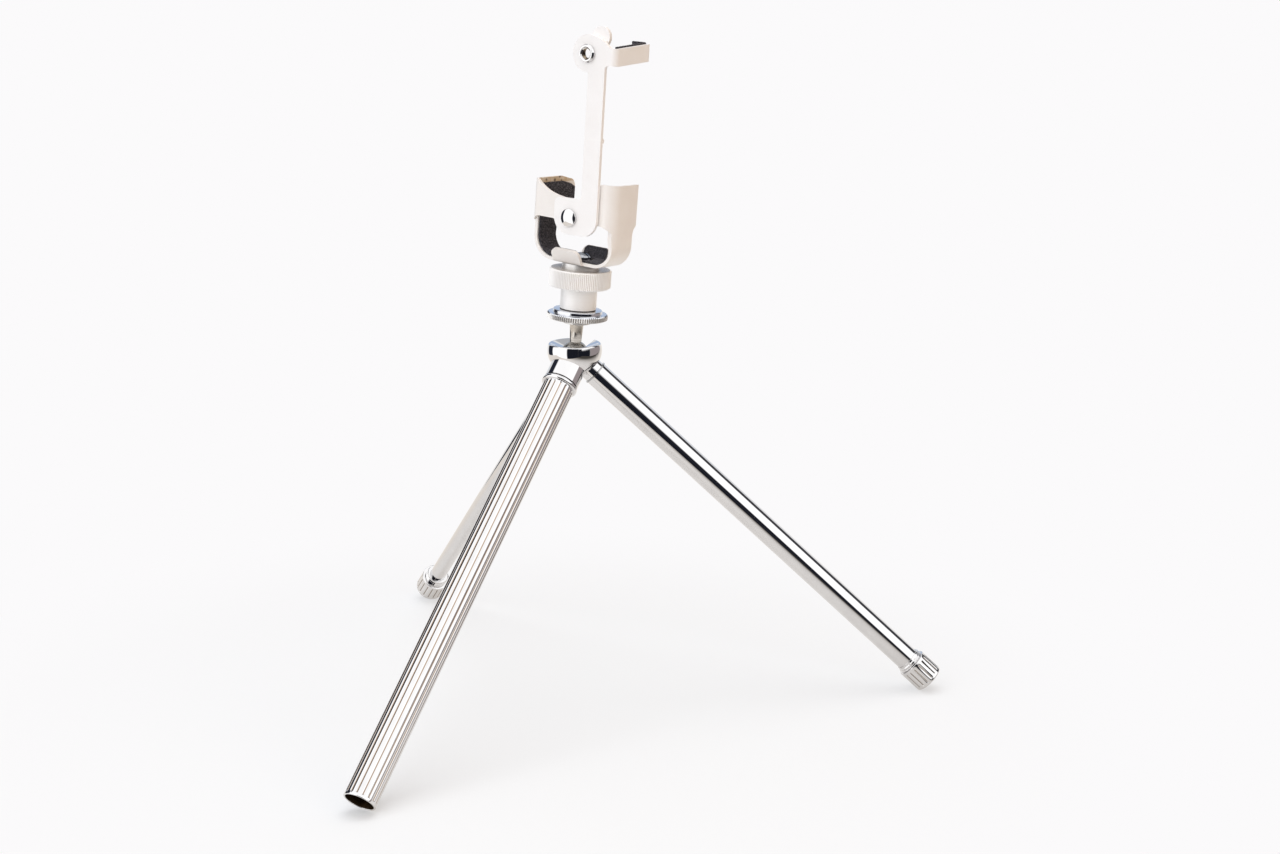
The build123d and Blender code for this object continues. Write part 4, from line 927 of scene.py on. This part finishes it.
# Arm: stamped from the same sheet, with a foot, a bar, a round head, a thumb tab and a bent claw. It
# swings on a domed rivet, and a threaded bush for a release is riveted into its head.
arm_lean = radians(1.05)
plate_back = 5.18
arm_back = 6.5
arm_front = 7.6
rivet_r = 1.5
rivet_tail = 0.45
rivet_tail_r = 2.4
rivet_head_r = 2.85
rivet_head = arm_front + 0.05
rivet_shoulder = 8.33
rivet_crown = 9.1
rivet_dome_r = 5.4
dome_rings = (2.4, 2.0, 1.6, 1.2, 0.8, 0.4)
bush_across = 3.7
bush_up = 50.5
bush_hole_r = 1.72
bush_shank_r = 2.2
bush_head_r = 2.85
bush_shoulder = 8.2
bush_face = 8.8
bush_face_r = 2.45
bush_mouth = 8.45
bush_mouth_r = 2.0
bush_lead = 0.05
bush_pitch = 0.55
bush_turns = 3
bush_thread = 0.22
mouth_skin = 0.03  # the thread's faces end this far below the mouth
clamp_arm = copied("clamp_arm", "stamped_arm")
deburred(clamp_arm, deburr)
# The arm has the same pearl paint a shade lighter; the saddle's darker tone is its painted shade.
clamp_arm.data.materials.append(pearl_paint("arm_pearl_paint_lighter", "#FBF9F8", "#F6F3F1"))
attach(clamp_arm, "arm")
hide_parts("clamp_arm")
claw_lining = pressed_felt("felt_claw_lining", "claw_felt")
claw_lining.data.materials.append(felt)
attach(claw_lining, "arm")
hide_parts("claw_felt")

rivet_point = Vector(joints["arm_swing"]["pos_m"])
rivet_point -= front_way * front_way.dot(rivet_point - head_point)
arm_rivet = turn(
    "domed_arm_rivet",
    eased(
        (0, plate_back - rivet_tail, 0),
        (rivet_tail_r, plate_back - rivet_tail, 0.2),
        (rivet_tail_r, plate_back, 0),
        (rivet_r, plate_back, 0),
        (rivet_r, rivet_head, 0),
        (rivet_head_r, rivet_head, 0.08),
        (rivet_head_r, rivet_shoulder, 0.3),
        *[
            (reach, rivet_crown - rivet_dome_r + sqrt(rivet_dome_r**2 - reach**2), 0)
            for reach in dome_rings
        ],
        (0, rivet_crown, 0),
    ),
    LATHE_STEPS,
)
stand(arm_rivet, front_way, rivet_point)
arm_rivet.data.materials.append(head_chrome)
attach(arm_rivet, "saddle")
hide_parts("arm_rivet")
nodes["arm_washer"].material_slots[0].material = nodes["swivel_washer"].material_slots[0].material

arm_up = stem_way * cos(arm_lean) - across_way * sin(arm_lean)
arm_across = across_way * cos(arm_lean) + stem_way * sin(arm_lean)
bush_point = rivet_point + (arm_across * bush_across + arm_up * bush_up) * MM
release_bush = turn(
    "threaded_release_bush",
    eased(
        (bush_hole_r, arm_back, 0),
        (bush_shank_r, arm_back, 0),
        (bush_shank_r, arm_front, 0),
        (bush_head_r, arm_front, 0.06),
        (bush_head_r, bush_shoulder, 0.15),
        (bush_face_r, bush_face, 0.12),
        (bush_mouth_r, bush_face, 0.08),
        (bush_hole_r, bush_mouth, 0),
    ),
    LATHE_STEPS,
)
thread(
    release_bush,
    arm_back + bush_lead,
    bush_turns,
    bush_pitch,
    bush_hole_r + ROOT_SINK,
    bush_hole_r - bush_thread,
)
for face in release_bush.data.polygons:
    middle = face.center / MM
    reach = sqrt(middle.x**2 + middle.y**2)
    if middle.z < bush_mouth - mouth_skin and reach < bush_hole_r + bore_skin:
        face.material_index = 1
stand(release_bush, front_way, bush_point)
release_bush.data.materials.append(head_chrome)
# The thread in the hole is brass; its dark, greyed colours are painted shade inside the hole.
release_bush.data.materials.append(
    turned_metal("shaded_brass_thread", front_way, "#A99A86", "#5B4E41", 0.25, 0.2)
)
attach(release_bush, "arm")
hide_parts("release_bush")

# Table, light and camera: white paper on a table, a large soft lamp in front, a weaker one at the
# right and one overhead. The room around them is what the chrome mirrors.
view_from = Vector((444.486, -527.710, 258.22)) * MM
view_tilt = 76.416
view_turn = 36.8223
lens_length = 64.15
lens_sensor = 36
table_front = 0.2
table_side = 0.36
table_depth = 3.0
edge_turn = -25  # degrees from the camera to where the table's near edge faces
shade_turn = 50  # and to where the mirrored paper falls into shade
shade_reach = (0.06, 0.24)
shade_depth = 0.95
paper_reach = (0.09, 0.21)  # the paper's shadows fade out between these distances
paper_glow = 0.4
lamp_aim = (0, 0, 0.1)
warm_reach = (0.05, 0.8)  # the walls grow warm from the middle to the right
to_camera = Vector((view_from.x - head_point.x, view_from.y - head_point.y, 0)).normalized()
to_edge = Matrix.Rotation(radians(edge_turn), 3, "Z") @ to_camera
to_shade = Matrix.Rotation(radians(shade_turn), 3, "Z") @ to_camera
bpy.ops.object.select_all(action="DESELECT")
bpy.ops.mesh.primitive_plane_add(
    size=1,
    location=to_edge * (table_front - table_depth / 2),
    rotation=(0, 0, atan2(to_edge.y, to_edge.x)),
)
table = bpy.context.object
table.scale = (table_depth, 2 * table_side, 1)
bpy.ops.object.transform_apply(location=True, rotation=True, scale=True)
table.name = "white_table"
paper = bpy.data.materials.new("white_table_paper")
paper.use_nodes = True
tree = paper.node_tree
lit = tree.nodes["Principled BSDF"]
lit.inputs["Base Color"].default_value = linear("#F3F7FA")
lit.inputs["Roughness"].default_value = 0.9
lit.inputs["Specular IOR Level"].default_value = 0.1
rays = add(tree, "LightPath")
seen = add(
    tree, "Math", {0: rays.outputs["Is Camera Ray"], 1: rays.outputs["Is Glossy Ray"]}, operation="MAXIMUM"
)
shown = add(
    tree, "Math", {0: seen.outputs[0], 1: rays.outputs["Is Transmission Ray"]}, operation="MAXIMUM"
)
away = add(tree, "VectorMath", {0: add(tree, "TexCoord").outputs["Object"]}, operation="LENGTH")
far = add(
    tree,
    "MapRange",
    {
        "Value": away.outputs["Value"],
        "From Min": paper_reach[0],
        "From Max": paper_reach[1],
        "To Min": paper_glow,
    },
    interpolation_type="SMOOTHSTEP",
)
bare = add(tree, "Math", {0: far.outputs[0], 1: shown.outputs[0]}, operation="MULTIPLY")
outward = add(
    tree,
    "VectorMath",
    {0: add(tree, "TexCoord").outputs["Object"], 1: to_shade},
    operation="DOT_PRODUCT",
)
dim = add(
    tree,
    "MapRange",
    {
        "Value": outward.outputs["Value"],
        "From Min": shade_reach[0],
        "From Max": shade_reach[1],
        "To Max": shade_depth,
    },
)
mirrored = add(tree, "Math", {0: dim.outputs[0], 1: rays.outputs["Is Glossy Ray"]}, operation="MULTIPLY")
warm = add(
    tree,
    "Mix",
    {0: rays.outputs["Is Glossy Ray"], 6: linear("#FBFAFB"), 7: linear("#FBF4EC")},
    data_type="RGBA",
)
tone = add(
    tree, "Mix", {0: mirrored.outputs[0], 6: warm.outputs[2], 7: linear("#2A2622")}, data_type="RGBA"
)
white = add(tree, "Emission", {"Color": tone.outputs[2], "Strength": 1})
both = add(tree, "MixShader", {0: bare.outputs[0], 1: lit.outputs[0], 2: white.outputs[0]})
tree.links.new(both.outputs[0], tree.nodes["Material Output"].inputs["Surface"])
table.data.materials.append(paper)


def soft_lamp(name, place, size, power, tint):
    """A large square lamp turned toward the legs' middle; the chrome mirrors the room instead of it."""
    lamp = bpy.data.lights.new(name, "AREA")
    lamp.shape = "SQUARE"
    lamp.size = size
    lamp.energy = power
    lamp.color = linear(tint)[:3]
    holder = bpy.data.objects.new(name, lamp)
    holder.location = place
    holder.rotation_euler = (Vector(lamp_aim) - Vector(place)).to_track_quat("-Z", "Y").to_euler()
    holder.visible_glossy = False
    bpy.context.collection.objects.link(holder)


soft_lamp("front_lamp", (0.13, -1.04, 0.65), 1.4, 7.4, "#FFFFFF")
soft_lamp("right_lamp", (1.1, -0.15, 0.6), 0.6, 1.5, "#FFE9D2")
soft_lamp("top_lamp", (0.0, 0.1, 1.1), 0.9, 4.9, "#FFFFFF")

world = bpy.data.worlds.new("white_room")
world.use_nodes = True
bpy.context.scene.world = world
tree = world.node_tree
parts = add(tree, "SeparateXYZ", {0: add(tree, "TexCoord").outputs["Generated"]})
flat = add(tree, "CombineXYZ", {"X": parts.outputs["X"], "Y": parts.outputs["Y"]})
ahead = add(tree, "VectorMath", {0: flat.outputs[0], 1: to_camera}, operation="DOT_PRODUCT")
beside = add(
    tree, "VectorMath", {0: flat.outputs[0], 1: upright.cross(to_camera)}, operation="DOT_PRODUCT"
)
turned = add(
    tree, "Math", {0: beside.outputs["Value"], 1: ahead.outputs["Value"]}, operation="ARCTAN2"
)
raised = add(tree, "Math", {0: parts.outputs["Z"]}, operation="ARCSINE")


def painted_patch(under, tint, strength, turns, rises, soft=3):
    """Paints a patch of the room, between two turns from the camera and two heights, in degrees."""
    mask = None
    for value, (low, high) in ((turned, turns), (raised, rises)):
        for edge, first, last in ((low, 0, 1), (high, 1, 0)):
            ramp = add(
                tree,
                "MapRange",
                {
                    "Value": value.outputs[0],
                    "From Min": radians(edge - soft),
                    "From Max": radians(edge + soft),
                    "To Min": first,
                    "To Max": last,
                },
                interpolation_type="SMOOTHSTEP",
            )
            if mask is None:
                mask = ramp.outputs[0]
            else:
                mask = add(tree, "Math", {0: mask, 1: ramp.outputs[0]}, operation="MULTIPLY").outputs[0]
    colour = [part * strength for part in linear(tint)[:3]] + [1]
    return add(tree, "Mix", {0: mask, 6: under, 7: colour}, data_type="RGBA").outputs[2]


room = linear("#FFFFFF")
# From the lit ceiling down to the dark of the room behind the camera; later patches cover earlier ones.
for patch in (
    ("#FFFFFF", 1.35, (-200, 200), (38, 100), 6),
    ("#FFFFFF", 1.5, (-106, -33), (-60, 60)),
    ("#FFFFFF", 1.5, (30, 98), (9, 45)),
    ("#C4C6CA", 1, (136, 200), (30, 62)),
    ("#C4C6CA", 1, (-200, -142), (30, 62)),
    ("#B9CBE6", 1, (150, 200), (7, 24)),
    ("#B9CBE6", 1, (-200, -150), (7, 24)),
    ("#A89E9E", 1, (69, 135), (-60, 10)),
    ("#45454A", 1, (100, 136), (10, 44)),
    ("#2A2D38", 1, (-142, -106), (-60, 50)),
    ("#1E2029", 1, (-33, 16), (-60, 40)),
    ("#1E2029", 1, (14, 31), (-60, 13)),
    ("#1E2029", 1, (14, 69), (-60, 8)),
):
    room = painted_patch(room, *patch)
rays = add(tree, "LightPath")
seen = add(
    tree,
    "Math",
    {0: rays.outputs["Is Camera Ray"], 1: rays.outputs["Is Transmission Ray"]},
    operation="MAXIMUM",
)
rightward = add(
    tree,
    "MapRange",
    {"Value": beside.outputs["Value"], "From Min": warm_reach[0], "From Max": warm_reach[1]},
)
walls = add(
    tree,
    "Mix",
    {0: rightward.outputs[0], 6: linear("#BDBDC0"), 7: linear("#BC9F7C")},
    data_type="RGBA",
)
plain = add(
    tree,
    "Mix",
    {0: seen.outputs[0], 6: walls.outputs[2], 7: linear("#FBFAFB")},
    data_type="RGBA",
)
mirrored = add(
    tree,
    "Mix",
    {0: rays.outputs["Is Glossy Ray"], 6: plain.outputs[2], 7: room},
    data_type="RGBA",
)
tree.links.new(mirrored.outputs[2], tree.nodes["Background"].inputs["Color"])

lens = bpy.data.cameras.new("camera")
lens.lens = lens_length
lens.sensor_width = lens_sensor
camera = bpy.data.objects.new("camera", lens)
camera.location = view_from
camera.rotation_euler = (radians(view_tilt), 0, radians(view_turn))
bpy.context.collection.objects.link(camera)
bpy.context.scene.camera = camera
bpy.context.scene.view_settings.view_transform = "Standard"
